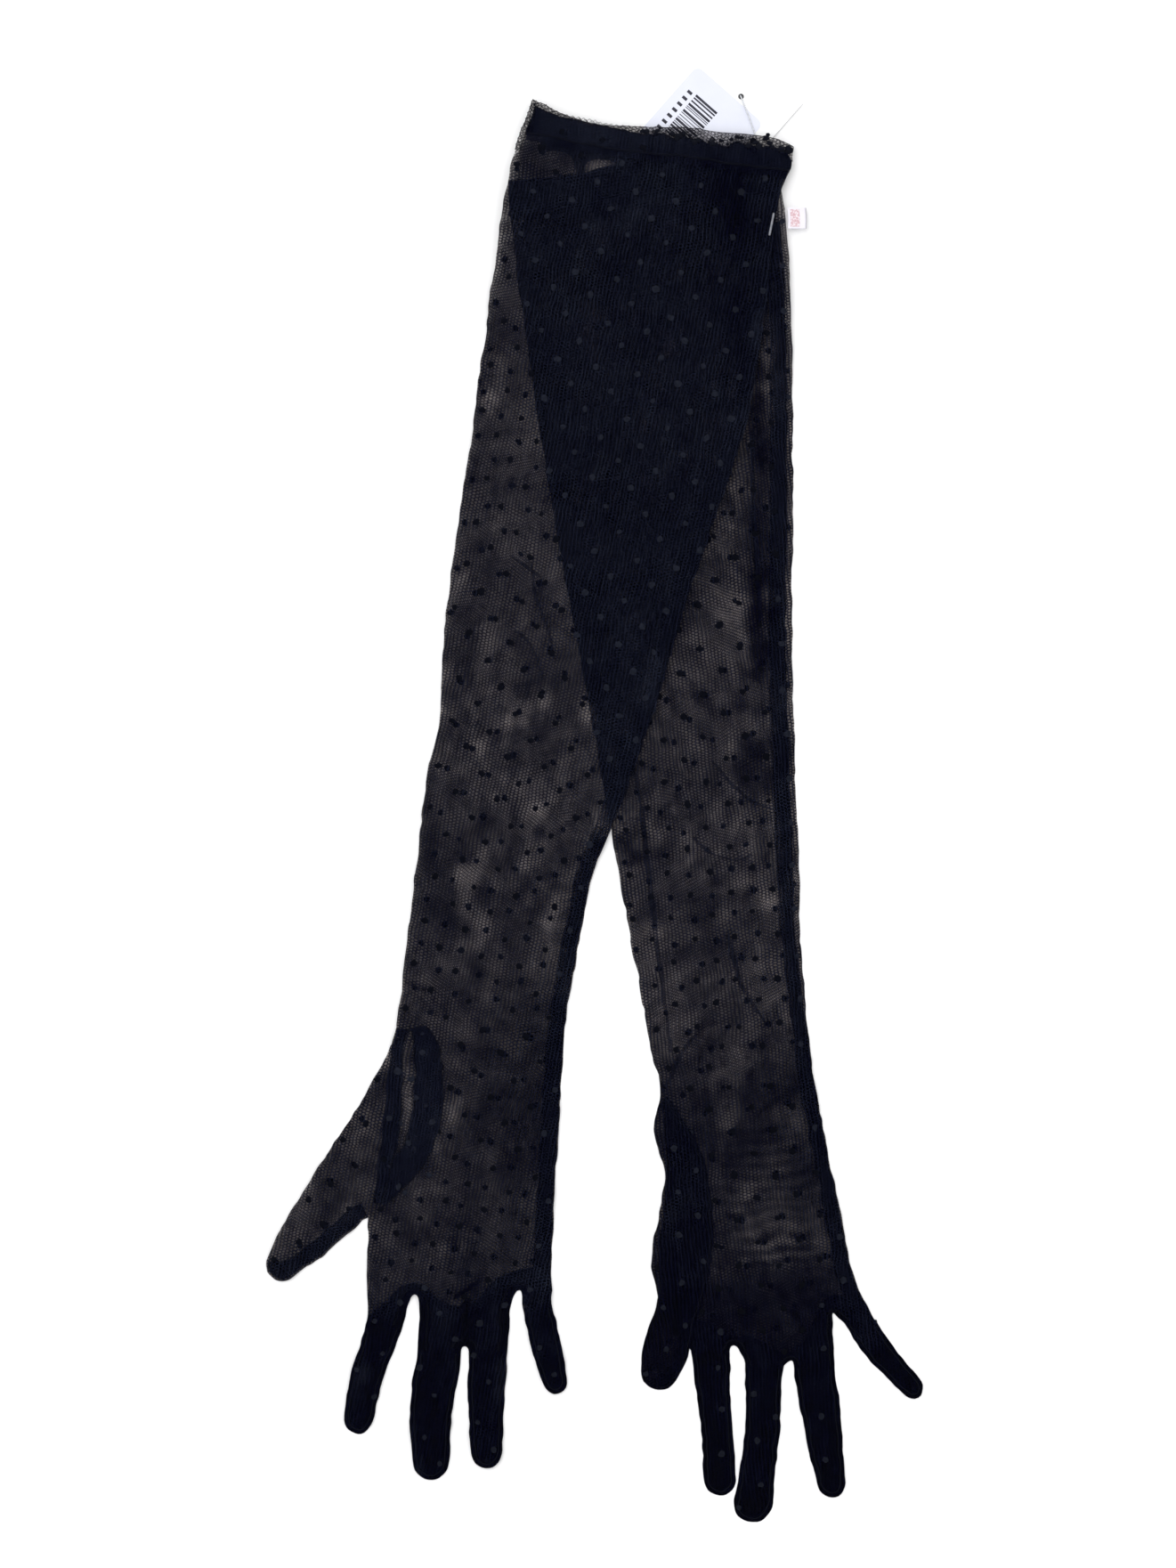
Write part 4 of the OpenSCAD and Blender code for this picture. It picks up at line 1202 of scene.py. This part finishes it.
pressed_fold(upper, "upper_sleeve_long_crease", [(-28, 91), (-26, 78), (-21.5, 65), (-17.5, 48)], 1.5, 551, 0.6,
             ("upper_sleeve",))
pressed_fold(upper, "upper_sleeve_short_crease", [(-37, 93), (-30, 88.5), (-23, 84)], 1.4, 552, 0.7, ("upper_sleeve",))
pressed_fold(upper, "upper_sleeve_side_crease", [(-35, 62), (-28, 54), (-22, 40)], 1.3, 553, 0.8, ("upper_sleeve",))
pressed_fold(upper, "upper_sleeve_inner_crease", [(30, 74), (24, 62), (18, 51), (14, 43)], 1.5, 554, -0.9,
             ("upper_sleeve",))
pressed_fold(lower, "lower_wrist_edge_fold", [(86.5, -92), (90, -110), (93.5, -130), (96.5, -147)], 1.5, 544, -1.0,
             ("lower_sleeve", "lower_hand"))
pressed_fold(lower, "lower_wrist_cross_fold", [(44, -113), (38, -121), (33, -131), (29, -139)], 2.0, 545, 0.4,
             ("lower_sleeve", "lower_hand"))


# Label, swing tag and fastener ---------------------------------------------------------------------

def care_label():
    """A folded satin tab with a plain woven mark."""
    lo, hi = (np.array(c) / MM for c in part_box("care_label"))
    sheet = Sheet()
    out = np.linspace(0, 1, 9)
    wide = np.linspace(0, 1, 7)
    middle = (lo[2] + hi[2]) / 2
    upper_half = [(lo[0] + (hi[0] - lo[0]) * t, 0.16 * math.sqrt(max(0, 1 - t ** 6)) + 0.03 * math.sin(5 * t))
                  for t in out]
    profile = upper_half + [(x, -z) for x, z in upper_half[-2::-1]]
    co = [(x + 0.15 * math.sin(4 * w), lo[1] + (hi[1] - lo[1]) * w, middle + z + 0.25 * math.sin(2.4 * w + 0.1 * x))
          for x, z in profile for w in wide]
    rows, columns = len(profile), len(wide)
    faces = [[r * columns + c, (r + 1) * columns + c, (r + 1) * columns + c + 1, r * columns + c + 1]
             for r in range(rows - 1) for c in range(columns - 1)]
    sheet.add(np.array(co), faces, np.zeros((len(co), 3)))
    mark = [(x + 0.15 * math.sin(4 * w), lo[1] + (hi[1] - lo[1]) * w, middle + z + 0.06 + 0.25 * math.sin(2.4 * w + 0.1 * x))
            for x, z in upper_half[1:6] for w in np.linspace(0.08, 0.92, 6)]
    faces = [[r * 6 + c, (r + 1) * 6 + c, (r + 1) * 6 + c + 1, r * 6 + c + 1] for r in range(4) for c in range(5)]
    sheet.add(np.array(mark), faces, np.zeros((len(mark), 3)), 1)
    label = sheet.piece("care_label_satin", [SATIN, ROSE])
    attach(label, "label")
    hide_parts("care_label")


care_label()
for node in ("tag_card", "tag_sticker", "tag_t_bar", "tag_paddle"):
    # The paddle takes the near-black nylon, painted shade seen through the card's hole.
    material = {"tag_card": CARD, "tag_sticker": STICKER, "tag_t_bar": GREY_NYLON}.get(node, HOLE_SHADE_NYLON)
    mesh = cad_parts[node].data
    mesh.materials.clear()
    mesh.materials.append(material)
filament.data.materials.append(NYLON)


def sticker_bars():
    """Plain bars on the price sticker, and two plain rules."""
    corner, turn = np.array((50.0, 324.0)), -41.3
    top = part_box("tag_sticker")[1].z / MM
    rng = np.random.default_rng(7)
    sheet = Sheet()
    y = -27.5
    bars = []
    while y > -58:
        thick = rng.choice([0.35, 0.35, 0.7, 1.05])
        bars.append((16, y - thick, 12, thick))
        y -= thick + rng.choice([0.45, 0.45, 0.9])
    bars += [(12, -29.5 - 3.3 * k, 2.4, 1.3) for k in range(9)]
    bars += [(33, -40, 2.2, 3.4), (33, -47, 4.4, 3.6), (39.4, -40, 1.4, 3.0)]
    for x, y, w, h in bars:
        plan = rotated(np.array([(x, y), (x + w, y), (x + w, y + h), (x, y + h)]), turn) + corner
        co = np.vstack([np.column_stack([plan, np.full(4, top + z)]) for z in (-0.01, 0.03)])
        faces = [[4, 5, 6, 7], [0, 1, 5, 4], [1, 2, 6, 5], [2, 3, 7, 6], [3, 0, 4, 7]]
        sheet.add(co, faces, np.zeros((8, 3)))
    finish_piece(sheet, "tag_bars", None, [INK], ["tag"])


sticker_bars()


# Floor and light -----------------------------------------------------------------------------------

def make_stage():
    mesh = bpy.data.meshes.new("floor")
    half = 3.0
    mesh.from_pydata([(-half, -half, 0), (half, -half, 0), (half, half, 0), (-half, half, 0)], [], [(0, 1, 2, 3)])
    floor = bpy.data.objects.new("floor", mesh)
    scene.collection.objects.link(floor)
    n = Nodes("floor")
    place = n.add("TexCoord").outputs["Object"]
    tone = n.ramp(n.noise(place, 3.0), (0.9, 0.9, 0.905), (0.92, 0.92, 0.925))
    mesh.materials.append(n.done(n.add("BsdfPrincipled", sockets={
        "Base Color": tone, "Roughness": 0.9, "Specular IOR Level": 0.1})))
    world = bpy.data.worlds.new("studio")
    world.use_nodes = True
    world.node_tree.nodes["Background"].inputs[0].default_value = (1, 1, 1, 1)
    world.node_tree.nodes["Background"].inputs[1].default_value = 0.95
    scene.world = world
    light = bpy.data.lights.new("softbox", "AREA")
    light.shape = "RECTANGLE"
    light.size = light.size_y = 1.6
    light.energy = 18
    lamp = bpy.data.objects.new("softbox", light)
    lamp.location = (-0.5, 0.7, 2.0)
    lamp.rotation_euler = Vector((0.5, -0.7, -2.0)).to_track_quat("-Z", "Y").to_euler()
    scene.collection.objects.link(lamp)


make_stage()
scene.view_settings.view_transform = "Standard"
scene.cycles.transparent_max_bounces = 32
